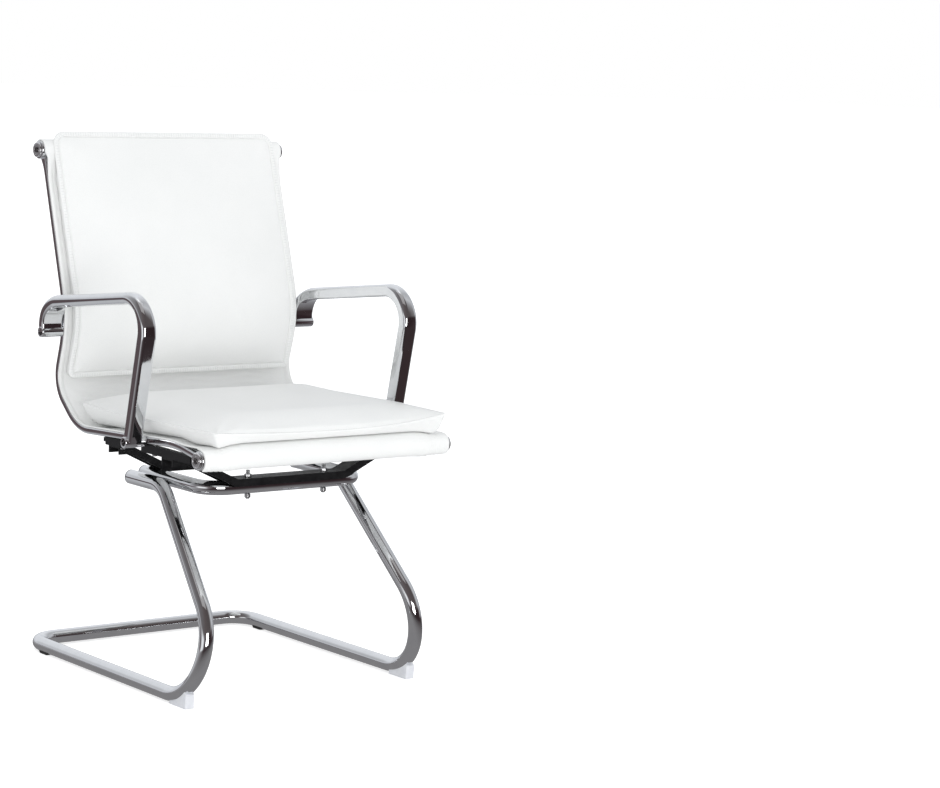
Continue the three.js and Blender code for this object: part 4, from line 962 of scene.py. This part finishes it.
def make_back_pad():
    us = edge_lines(BACK_X, FINE, 7.5)
    vs = edge_lines(BACK_HALF, FINE, 7.5)
    a, b = np.meshgrid(us, vs)
    radius = back_radius(b)
    a, b = corner_map(a, b, BACK_X, BACK_HALF, radius)
    inset, ga, gb = inset_of(a, b, BACK_X, BACK_HALF, radius)
    around = np.arctan2(b, a) * 260.0
    pucker = np.exp(-np.maximum(inset - 10.5, 0) / 13.0) * (inset > 9.6) * smooth(inset, 9.6, 12.5)
    pucker = pucker * (np.sin(around / 2.1 + 1.6 * np.sin(around / 17.0)) * 0.35 + wavy(a, b, 21, 90, 90) * 0.45)
    rim = wavy(a * 1.0, b * 1.0, 33, 120, 120) * 0.35 * (1 - smooth(inset, 8.0, 12.0))
    height = back_front_height(a, b, inset) + pucker + rim * smooth(inset, 0.0, 1.5)
    front = back_place(a, b, height)
    # Behind the flange the boxing draws in, then the rear face follows the sling
    z = BACK_MID + b
    rest = 5.1 + (15.9 - 5.1) * smooth(z, TOP_ROLL[1] - 54.0, TOP_ROLL[1] - 18.0)
    box_d = [0.0, 0.4, 1.0, 1.7, 2.4, 3.1, 3.9, 4.7, 5.5, 6.3, 7.1]
    box_inset = [0.0, 0.25, 1.4, 3.0, 3.2, 3.2, 3.3, 3.4, 3.7, 4.9, 7.1]
    box_share = [1.0, 0.84, 0.80, 0.76, 0.62, 0.48, 0.34, 0.20, 0.08, 0.0, 0.0]
    moved = np.where(inset < 7.1, np.interp(inset, box_d, box_inset), inset)
    share = np.where(inset < 7.1, np.interp(inset, box_d, box_share), 0.0)
    folds = 0.55 * np.sin(np.arctan2(b / BACK_HALF, a / BACK_X) * 31 + 2 * np.sin(b / 40.0)) * (share > 0.02) * (share < 0.79)
    moved = moved + folds
    ra, rb = a + ga * (inset - moved), b + gb * (inset - moved)
    rear_height = rest + (20.0 - rest) * share
    slack = 0.5 * wavy(a, b, 55, 200, 160) * smooth(inset, 12.0, 40.0)
    rear = back_place(ra, rb, rear_height + np.maximum(slack, 0.0))
    shell, index_front, index_rear = two_faced("back", front, rear)
    made = shell.piece("back_cushion", LEATHER, "leatherette", 70.0)
    held = np.ones(len(shell.verts))
    free = inset >= 12.0
    held[index_front[free]] = 0.0
    near = (inset >= 9.6) & (inset < 12.0)
    held[index_front[near]] = 0.6
    swell(made, held, 4.0, 3.0, 4.0)
    return made


back_pad = make_back_pad()
stands_for(back_pad, "back_pad")

SEAT_MID = (SEAT_REAR + SEAT_FRONT) / 2
SEAT_HALF = (SEAT_REAR - SEAT_FRONT) / 2


def seat_bottom(a, y):
    line = seat_at(y)
    cover = roll_radius(a, FOAM_R + 0.3 + SLING_T + 0.5, FOAM_END + 0.3 + SLING_T + 0.5)
    across = np.abs(y - FRONT_ROLL[0])
    roll = np.where(across < cover, FRONT_ROLL[1] + np.sqrt(np.maximum(cover ** 2 - across ** 2, 0.0)), 0.0)
    ease = (front_mid(a) - SLING_LIFT) * smooth(-y, -FRONT_ROLL[0] - FRONT_EASE, -FRONT_ROLL[0])
    puff = SEAT_PUFF * smooth(np.abs(a), 110.0, 185.0) * (1 - smooth(-y, 190.0, 270.0))
    over_sling = line + SLING_LIFT + SLING_T / 2 + 0.5 + ease + puff + roll_raise(a) * smooth(-y, 216.0, 280.0)
    over_rail = np.where(np.abs(a) > 228.0, line + LAP_LIFT + SLING_T / 2 + 0.5, 0.0)
    ahead = np.where(y < FRONT_ROLL[0], FRONT_ROLL[1] + np.maximum(cover, 19.0), 0.0)
    return np.maximum.reduce([over_sling, over_rail, roll + roll_raise(a), np.minimum(ahead + roll_raise(a), 452.0)])


def seam_height(a, b):
    """The seam sags between the pad's ears, most of all along the front, and rides up to the right."""
    front = 462.3 + np.where(a < 20.0, 8.0 * ((20.0 - a) / 254.0) ** 2, 17.5 * (np.maximum(a - 20.0, 0) / 214.0) ** 2.2)
    side = 469.5 + 10.5 * smooth(a, 60.0, 234.0) - 3.0 * np.cos(np.pi * np.clip((b - 90.0) / 130.0, -1, 1) / 2) ** 2
    return side + (front - side) * smooth(-b, SEAT_HALF - 75.0, SEAT_HALF - 2.0)


def crown_share(a, b, inset):
    """A pillow's crown: full over the middle, falling to nothing at the seams and lowest towards the ears."""
    across = np.clip((SEAT_X - np.abs(a)) / 88.0, 0.0, 1.0)
    along = np.clip((SEAT_HALF - np.abs(b)) / 88.0, 0.0, 1.0)
    return (np.sin(np.pi / 2 * across) * np.sin(np.pi / 2 * along)) ** 0.56 * smooth(inset, 1.0, 9.0)


def make_seat_pad():
    fine = [0.0, 0.15, 0.45, 0.9, 1.5, 2.2, 3.0, 4.0, 5.2, 6.5, 8.0, 10.0, 12.0, 14.0, 16.5, 20.0, 24.0, 29.0, 35.0, 42.0]
    us = edge_lines(SEAT_X, fine, 7.5)
    vs = edge_lines(SEAT_HALF, fine, 7.5)
    a, b = np.meshgrid(us, vs)
    a, b = corner_map(a, b, SEAT_X, SEAT_HALF, SEAT_R)
    inset, ga, gb = inset_of(a, b, SEAT_X, SEAT_HALF, SEAT_R)

    def spread(a, b):
        along = np.cos(np.pi / 2 * np.minimum(1.0, np.abs(b) / SEAT_HALF))
        return a + np.sign(a) * SEAT_BULGE * along * np.abs(a) / SEAT_X

    around = np.arctan2(b, a) * 260.0
    pucker = np.exp(-inset / 16.0) * smooth(inset, 0.4, 5.0)
    ears = np.exp(-((np.abs(a) - SEAT_X) ** 2 + (np.abs(b) - SEAT_HALF) ** 2) / 60.0 ** 2)
    pucker = pucker * (0.5 * np.sin(around / 3.3 + 1.4 * np.sin(around / 21.0)) + 0.7 * wavy(a, b, 3, 110, 110))
    pull = ears * np.sin(np.arctan2(SEAT_HALF - np.abs(b), SEAT_X - np.abs(a)) * 9.0) * 1.3 * smooth(inset, 1.0, 12.0)
    hem = [(0.0, 0.9), (0.15, 0.5), (0.45, 0.2), (0.9, 0.1), (1.5, 0.5), (2.2, 1.3), (3.0, 2.2), (4.0, 3.4), (5.2, 4.9),
           (6.5, 6.5)]
    moved = np.where(inset < 6.5, np.interp(inset, [d for d, _ in hem], [m for _, m in hem]), inset)
    bead = np.interp(inset, [0.0, 0.15, 0.45, 0.9, 1.5, 2.2, 3.0, 4.0, 5.2], [0.0, 0.5, 1.0, 1.4, 1.6, 1.6, 1.3, 0.6, 0.0])
    seam = seam_height(a, b)
    doming = 1.2 * wavy(a, b, 77, 500, 500) * smooth(inset, 20, 90)
    top_a, top_b = a + ga * (inset - moved), b + gb * (inset - moved)
    top_z = seam + (SEAT_TOP - seam) * crown_share(a, b, inset) + bead + pucker + pull + doming
    top = np.stack([spread(top_a, top_b), SEAT_MID + top_b, top_z], axis=-1)
    # Lower half: a rounded band that draws in to what the pad lies on
    base = seat_bottom(spread(a, b), SEAT_MID + b)
    drop = np.maximum(seam - base, 3.0)
    lower_inset = np.where(inset < 2.2, np.interp(inset, [0.0, 0.15, 0.45, 0.9, 1.5, 2.2],
                                                   [1.2, 0.9, 0.6, 0.6, 1.1, 2.2]), inset)
    share = np.clip(inset / SEAT_DRAW, 0.0, 1.0)
    round_off = 1 - (1 - share) ** 2.0
    low_a, low_b = a + ga * (inset - lower_inset), b + gb * (inset - lower_inset)
    bottom = np.stack([spread(low_a, low_b), SEAT_MID + low_b, seam - drop * round_off], axis=-1)
    shell, index_top, index_bottom = two_faced("seat", top, bottom)
    made = shell.piece("seat_cushion", LEATHER, "leatherette", 70.0)
    held = np.ones(len(shell.verts))
    held[index_top[inset >= 4.0]] = 0.25
    held[index_top[inset >= 9.0]] = 0.0
    swell(made, held, 4.0, 3.0, 4.0)
    return made


seat_pad = make_seat_pad()
stands_for(seat_pad, "seat_pad")


# ---------------------------------------------------------------- stitches

def stitch(shell, centre, along, out, length, radius, sunk=0.35):
    """One thread stitch: a short bowed capsule that dips at both ends."""
    along = along / np.linalg.norm(along)
    across = np.cross(along, out)
    across = across / np.linalg.norm(across)
    out = np.cross(across, along)
    rings = []
    for share in (-1.0, -0.82, -0.45, 0.0, 0.45, 0.82, 1.0):
        bow = (1 - share * share) * sunk * 1.4 - sunk * 0.5
        size = radius * (0.35 + 0.65 * math.sqrt(max(0.0, 1 - abs(share) ** 3)))
        middle = centre + along * share * length / 2 + out * bow
        rings.append([middle + size * (math.cos(k * math.pi / 3) * across + math.sin(k * math.pi / 3) * out)
                      for k in range(6)])
    shell.loft(rings)


def outline_walk(half_a, half_b, radius_of, inset, pitch):
    """Points on the rounded outline at an inset, evenly spaced, with the outward direction."""
    points = []
    for index, (sa, sb) in enumerate(((1, 1), (-1, 1), (-1, -1), (1, -1))):
        radius = float(radius_of(sb))
        ca, cb = sa * (half_a - radius), sb * (half_b - radius)
        for step in range(13):
            angle = math.pi / 2 * (index + step / 12)
            reach = max(radius - inset, 0.01)
            points.append((ca + reach * math.cos(angle), cb + reach * math.sin(angle)))
    points.append(points[0])
    points = np.array(points)
    gaps = np.linalg.norm(np.diff(points, axis=0), axis=1)
    run = np.concatenate([[0.0], np.cumsum(gaps)])
    count = int(run[-1] // pitch)
    for k in range(count):
        at = run[-1] * (k + 0.5) / count
        a, b = np.interp(at, run, points[:, 0]), np.interp(at, run, points[:, 1])
        yield float(a), float(b)


flange_thread = Shell()
for a, b in outline_walk(BACK_X, BACK_HALF, back_radius, 4.6, 4.9):
    _, ga, gb = inset_of(np.array(a), np.array(b), BACK_X, BACK_HALF, float(back_radius(b)))
    height = np.array(23.5)
    middle = back_place(np.array(a), np.array(b), height)
    edge = back_place(np.array(a + float(ga)), np.array(b + float(gb)), height)
    stitch(flange_thread, middle, edge - middle, np.array([0.0, -1.0, 0.3]), 6.2, 0.62, 0.30)
stands_for(flange_thread.piece("back_flange_stitching", THREAD, "leatherette", 60.0))

seat_thread = Shell()
for a in np.arange(-SEAT_X + 9, SEAT_X - 8, 5.2):
    along = math.cos(math.pi / 2 * 0.985)
    seam = float(seam_height(np.array(a), np.array(-SEAT_HALF)))
    spot = np.array([a * (1 + SEAT_BULGE * along / SEAT_X), SEAT_FRONT + 2.2, seam + 1.9])
    stitch(seat_thread, spot, np.array([1.0, 0.0, 0.0]), np.array([0.0, -0.5, 0.86]), 3.4, 0.42)
stands_for(seat_thread.piece("seat_front_stitching", THREAD, "leatherette", 60.0))

hem_thread = Shell()
for run, side_out in ((47.0, 1), (47.0, -1), (LENGTH - 68.0, 1), (LENGTH - 68.0, -1)):
    for x in np.arange(-216, 217, 5.0):
        lift = float(ply_lift(np.array(x), np.array(run)))
        lift = lift + SLING_T / 2 + 0.05 if side_out > 0 else lift - 1.5 * SLING_T - 0.4
        y, z, ty, tz = line_at(run)
        spot = np.array([x, float(y + tz * lift), float(z - ty * lift)])
        stitch(hem_thread, spot, np.array([1.0, 0.0, 0.0]), side_out * np.array([0.0, float(tz), float(-ty)]), 3.2, 0.34)
stands_for(hem_thread.piece("sling_hem_stitching", THREAD, "leatherette", 60.0))


# ---------------------------------------------------------------- small steel and plastic pieces

def rounded_copy(name, node, finish, width, segments=3):
    """A copy of a plain solid with its edges rounded."""
    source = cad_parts[node]
    mesh = source.data.copy()
    mesh.materials.clear()
    mesh.materials.append(finish)
    made = bpy.data.objects.new(name, mesh)
    bpy.context.scene.collection.objects.link(made)
    mesh.shade_smooth()
    soft = made.modifiers.new("edges", "BEVEL")
    soft.width = width * MM
    soft.segments = segments
    soft.limit_method = "ANGLE"
    soft.angle_limit = math.radians(32)
    soft.harden_normals = False
    weighted = made.modifiers.new("even_faces", "WEIGHTED_NORMAL")
    weighted.keep_sharp = True
    stands_for(made, node)
    return made


for end in ("front", "rear"):
    rounded_copy(end + "_cross_channel", end + "_channel", BLACK_STEEL, 0.8)
for side in ("left", "right"):
    rounded_copy("under_rail_bar_" + side, "side_bar_" + side, BLACK_STEEL, 0.7)
    rounded_copy("stepped_plate_" + side, "mount_plate_" + side, BLACK_STEEL, 0.6)
    rounded_copy("knee_glide_" + side, "front_glide_" + side, MILKY, 0.8)
    rounded_copy("rear_pad_glide_" + side, "rear_glide_" + side, BLACK_PLASTIC, 0.6)


def turned_z(name, node, profile, x, y, finish, slot, hexes=(), sides=48):
    shell = Shell()
    shell.lathe(profile, along_z(x, y), sides, hexes)
    return stands_for(shell.piece(name, finish, slot), node)


for side, sign in (("left", -1), ("right", 1)):
    x, y = sign * 77.7, CRADLE_Y
    top = 371.1
    low = CRADLE_Z - TUBE_R - 9
    threads = [(0, low), (2.7, low), (3.5, low + 0.8)]
    pitch = 1.0
    for k in range(int((top + 12 - low - 2.0) / pitch)):
        z = low + 1.0 + k * pitch
        threads += [(3.5, z), (3.12, z + 0.5)]
    threads += [(3.5, top + 11.2), (2.7, top + 12), (0, top + 12)]
    turned_z("threaded_stud_" + side, "stud_" + side, threads, x, y, ZINC, "zinc", sides=32)
    base = CRADLE_Z - TUBE_R - 0.3 - 6.6
    turned_z("round_sleeve_nut_" + side, "sleeve_nut_" + side,
             [(3.8, base), (4.6, base), (5.2, base + 0.7), (5.2, base + 6.0), (4.6, base + 6.6), (3.8, base + 6.6),
              (3.8, base)], x, y, ZINC, "zinc")
    base = top + 0.3
    turned_z("hex_lock_nut_" + side, "lock_nut_" + side,
             [(3.8, base), (4.9, base), (5.54, base + 0.5), (5.54, base + 4.2), (4.9, base + 5.0), (3.8, base + 5.0),
              (3.8, base)], x, y, ZINC, "zinc", hexes=(2, 3))
    for end, seat, y in (("front", 413.0, -128.0), ("rear", 410.6, -23.6)):
        head = seat - 0.3 - 3.0
        tip = float(seat_at(y)) - RAIL_T / 2 + 5
        turned_z("pan_screw_%s_%s" % (end, side), "frame_screw_%s_%s" % (end, side),
                 [(0, head + 1.6), (1.7, head + 1.6), (1.7, head + 0.2), (2.0, head), (3.5, head), (4.2, head + 0.35),
                  (4.5, head + 1.1), (4.5, seat - 0.3), (2.5, seat - 0.3), (2.5, tip), (0, tip)],
                 sign * RAIL_MID, y, ZINC, "zinc", hexes=(1, 2))


# ---------------------------------------------------------------- camera, floor, light

camera_data = bpy.data.cameras.new("camera")
camera_data.lens = 104.94
camera_data.sensor_width = 36.0
camera_data.sensor_fit = "HORIZONTAL"
camera_data.clip_end = 200.0
camera = bpy.data.objects.new("camera", camera_data)
bpy.context.scene.collection.objects.link(camera)
yaw, pitch, roll = math.radians(37.691), math.radians(6.994), math.radians(1.932)
forward = Vector((math.sin(yaw) * math.cos(pitch), math.cos(yaw) * math.cos(pitch), -math.sin(pitch)))
right = Vector((math.cos(yaw), -math.sin(yaw), 0.0))
upward = right.cross(forward)
right_rolled = right * math.cos(roll) + upward * math.sin(roll)
up_rolled = upward * math.cos(roll) - right * math.sin(roll)
turned = Matrix((right_rolled, up_rolled, -forward)).transposed().to_4x4()
turned.translation = Vector((-2.5933, -4.0382, 1.0889))
camera.matrix_world = turned
bpy.context.scene.camera = camera

floor_mesh = bpy.data.meshes.new("floor")
reach = 60.0
floor_mesh.from_pydata([(-reach, -reach, 0), (reach, -reach, 0), (reach, reach, 0), (-reach, reach, 0)], [],
                       [(0, 1, 2, 3)])
floor = bpy.data.objects.new("floor", floor_mesh)
bpy.context.scene.collection.objects.link(floor)
floor_finish = bpy.data.materials.new("studio_floor")
floor_finish.use_nodes = True
nodes, links = floor_finish.node_tree.nodes, floor_finish.node_tree.links
nodes.clear()
out = nodes.new("ShaderNodeOutputMaterial")
path = nodes.new("ShaderNodeLightPath")


def diffuse_shader(nodes, tone):
    made = nodes.new("ShaderNodeBsdfDiffuse")
    made.inputs["Color"].default_value = (*tone, 1)
    return made.outputs["BSDF"]


def mixed(nodes, links, factor, first, second):
    made = nodes.new("ShaderNodeMixShader")
    links.new(factor, made.inputs["Fac"])
    links.new(first, made.inputs[1])
    links.new(second, made.inputs[2])
    return made.outputs["Shader"]


# What polished metal sees round the studio. Headings run clockwise: 0 the front, 0.25 the left, 0.5 the rear,
# 0.75 the right.
FAR_TONES = [(0.0, (0.035, 0.026, 0.028)), (0.12, (0.050, 0.036, 0.038)), (0.165, (0.20, 0.18, 0.19)),
             (0.20, (0.90, 0.91, 0.93)), (0.26, (0.98, 0.99, 1.0)), (0.30, (0.26, 0.24, 0.25)),
             (0.35, (0.11, 0.085, 0.09)), (0.44, (0.11, 0.085, 0.09)), (0.49, (0.30, 0.30, 0.31)),
             (0.54, (0.62, 0.65, 0.69)), (0.66, (0.72, 0.75, 0.79)), (0.71, (0.40, 0.40, 0.42)),
             (0.79, (0.54, 0.55, 0.57)), (0.84, (0.09, 0.065, 0.07)), (0.90, (0.030, 0.018, 0.020)),
             (1.0, (0.035, 0.026, 0.028))]


WALL_TONES = FAR_TONES[:5] + [(0.31, (0.30, 0.29, 0.30)), (0.40, (0.62, 0.63, 0.66)),
                              (0.52, (0.72, 0.74, 0.78))] + FAR_TONES[10:]
MID_TONES = [(0.0, (0.035, 0.026, 0.028)), (0.14, (0.05, 0.036, 0.038)), (0.26, (0.28, 0.27, 0.28)),
             (0.38, (0.55, 0.56, 0.58)), (0.60, (0.44, 0.45, 0.47)), (0.74, (0.16, 0.15, 0.16)),
             (0.84, (0.045, 0.03, 0.032)), (1.0, (0.035, 0.026, 0.028))]


def heading_of(nodes, links, where):
    split = nodes.new("ShaderNodeSeparateXYZ")
    links.new(where, split.inputs["Vector"])
    turn = nodes.new("ShaderNodeMath")
    turn.operation = "ARCTAN2"
    links.new(split.outputs["X"], turn.inputs[0])
    links.new(split.outputs["Y"], turn.inputs[1])
    return remap(nodes, links, turn.outputs["Value"], -math.pi, math.pi, 0.0, 1.0)


add = nodes.new("ShaderNodeAddShader")
glow = nodes.new("ShaderNodeEmission")
glow.inputs["Color"].default_value = (1, 1, 1, 1)
glow.inputs["Strength"].default_value = 0.62
links.new(diffuse_shader(nodes, (0.80, 0.80, 0.80)), add.inputs[0])
links.new(glow.outputs["Emission"], add.inputs[1])
soft = nodes.new("ShaderNodeAddShader")
lift = nodes.new("ShaderNodeEmission")
lift.inputs["Color"].default_value = (1, 1, 1, 1)
lift.inputs["Strength"].default_value = 0.16
links.new(diffuse_shader(nodes, (0.82, 0.82, 0.82)), soft.inputs[0])
links.new(lift.outputs["Emission"], soft.inputs[1])
spot = nodes.new("ShaderNodeTexCoord").outputs["Object"]
length = nodes.new("ShaderNodeVectorMath")
length.operation = "LENGTH"
links.new(spot, length.inputs[0])
reach_share = remap(nodes, links, length.outputs["Value"], 0.0, 5.0, 0.0, 1.0)
around = heading_of(nodes, links, spot)
outer = nodes.new("ShaderNodeMix")
outer.data_type = "RGBA"
links.new(ramp(nodes, links, reach_share, [(0.40, (0, 0, 0)), (0.60, (1, 1, 1))]), outer.inputs["Factor"])
links.new(ramp(nodes, links, around, MID_TONES), outer.inputs["A"])
links.new(ramp(nodes, links, around, FAR_TONES), outer.inputs["B"])
shown = nodes.new("ShaderNodeMix")
shown.data_type = "RGBA"
shown.inputs["A"].default_value = (0.25, 0.245, 0.25, 1)
links.new(ramp(nodes, links, reach_share, [(0.08, (0, 0, 0)), (0.15, (0.65, 0.65, 0.65)), (0.24, (1, 1, 1))]),
          shown.inputs["Factor"])
links.new(outer.outputs["Result"], shown.inputs["B"])
sheen = nodes.new("ShaderNodeEmission")
links.new(shown.outputs["Result"], sheen.inputs["Color"])
bounce = mixed(nodes, links, path.outputs["Is Glossy Ray"], soft.outputs["Shader"], sheen.outputs["Emission"])
links.new(mixed(nodes, links, path.outputs["Is Camera Ray"], bounce, add.outputs["Shader"]), out.inputs["Surface"])
floor_mesh.materials.append(floor_finish)
floor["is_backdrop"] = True

world = bpy.data.worlds.new("studio")
bpy.context.scene.world = world
world.use_nodes = True
nodes, links = world.node_tree.nodes, world.node_tree.links
nodes.clear()
out = nodes.new("ShaderNodeOutputWorld")
path = nodes.new("ShaderNodeLightPath")
white = nodes.new("ShaderNodeBackground")
white.inputs["Color"].default_value = (1, 1, 1, 1)
white.inputs["Strength"].default_value = 1.0
ambient = nodes.new("ShaderNodeBackground")
ambient.inputs["Color"].default_value = (0.97, 0.985, 1.0, 1)
ambient.inputs["Strength"].default_value = 0.88
mirror = nodes.new("ShaderNodeBackground")
where = nodes.new("ShaderNodeTexCoord").outputs["Generated"]
split = nodes.new("ShaderNodeSeparateXYZ")
links.new(where, split.inputs["Vector"])
sweep = heading_of(nodes, links, where)
skirting = ramp(nodes, links, sweep, FAR_TONES)
walls = ramp(nodes, links, sweep, WALL_TONES)
band = ramp(nodes, links, sweep, [(0.0, (0.10, 0.085, 0.085)), (0.13, (0.12, 0.10, 0.10)), (0.30, (0.17, 0.16, 0.165)),
                                  (0.38, (0.34, 0.34, 0.35)), (0.45, (0.80, 0.82, 0.85)), (0.62, (0.86, 0.88, 0.91)),
                                  (0.72, (0.50, 0.51, 0.53)), (0.82, (0.62, 0.63, 0.65)), (0.90, (0.10, 0.085, 0.085)),
                                  (1.0, (0.10, 0.085, 0.085))])
ceiling = ramp(nodes, links, sweep, [(0.0, (0.17, 0.16, 0.16)), (0.30, (0.15, 0.14, 0.145)), (0.42, (0.50, 0.51, 0.53)),
                                     (0.52, (0.92, 0.93, 0.95)), (0.64, (0.92, 0.93, 0.95)), (0.76, (0.36, 0.36, 0.37)),
                                     (0.88, (0.17, 0.16, 0.16)), (1.0, (0.17, 0.16, 0.16))])
height = split.outputs["Z"]
into_wall = ramp(nodes, links, height, [(0.01, (0, 0, 0)), (0.05, (1, 1, 1))])
into_band = ramp(nodes, links, height, [(0.15, (0, 0, 0)), (0.25, (1, 1, 1))])
into_top = ramp(nodes, links, height, [(0.86, (0, 0, 0)), (0.96, (1, 1, 1))])
sky = nodes.new("ShaderNodeMix")
sky.data_type = "RGBA"
links.new(into_band, sky.inputs["Factor"])
lower = nodes.new("ShaderNodeMix")
lower.data_type = "RGBA"
links.new(into_wall, lower.inputs["Factor"])
links.new(skirting, lower.inputs["A"])
links.new(walls, lower.inputs["B"])
links.new(lower.outputs["Result"], sky.inputs["A"])
links.new(band, sky.inputs["B"])
blend = nodes.new("ShaderNodeMix")
blend.data_type = "RGBA"
links.new(into_top, blend.inputs["Factor"])
links.new(sky.outputs["Result"], blend.inputs["A"])
links.new(ceiling, blend.inputs["B"])
links.new(blend.outputs["Result"], mirror.inputs["Color"])
mirror.inputs["Strength"].default_value = 1.0
unseen = mixed(nodes, links, path.outputs["Is Glossy Ray"], ambient.outputs["Background"],
               mirror.outputs["Background"])
links.new(mixed(nodes, links, path.outputs["Is Camera Ray"], unseen, white.outputs["Background"]),
          out.inputs["Surface"])


def area_light(name, at, aim, size, power, colour=(1, 1, 1)):
    data = bpy.data.lights.new(name, "AREA")
    data.shape = "RECTANGLE"
    data.size, data.size_y = size
    data.energy = power
    data.color = colour
    lamp = bpy.data.objects.new(name, data)
    bpy.context.scene.collection.objects.link(lamp)
    lamp.location = at
    lamp.rotation_euler = (Vector(aim) - Vector(at)).to_track_quat("-Z", "Y").to_euler()
    return lamp


area_light("front_panel", (-1.3, -4.6, 0.95), (0, 0, 0.55), (2.4, 1.4), 38.0)
area_light("low_panel", (-0.8, -2.7, 0.25), (0, 0, 0.5), (1.4, 0.4), 9.0)
area_light("top_panel", (-0.3, -0.6, 3.3), (0, 0, 0.4), (2.4, 2.4), 5.0)

bpy.context.scene.view_settings.view_transform = "Standard"

# ---------------------------------------------------------------- close

low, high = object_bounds()
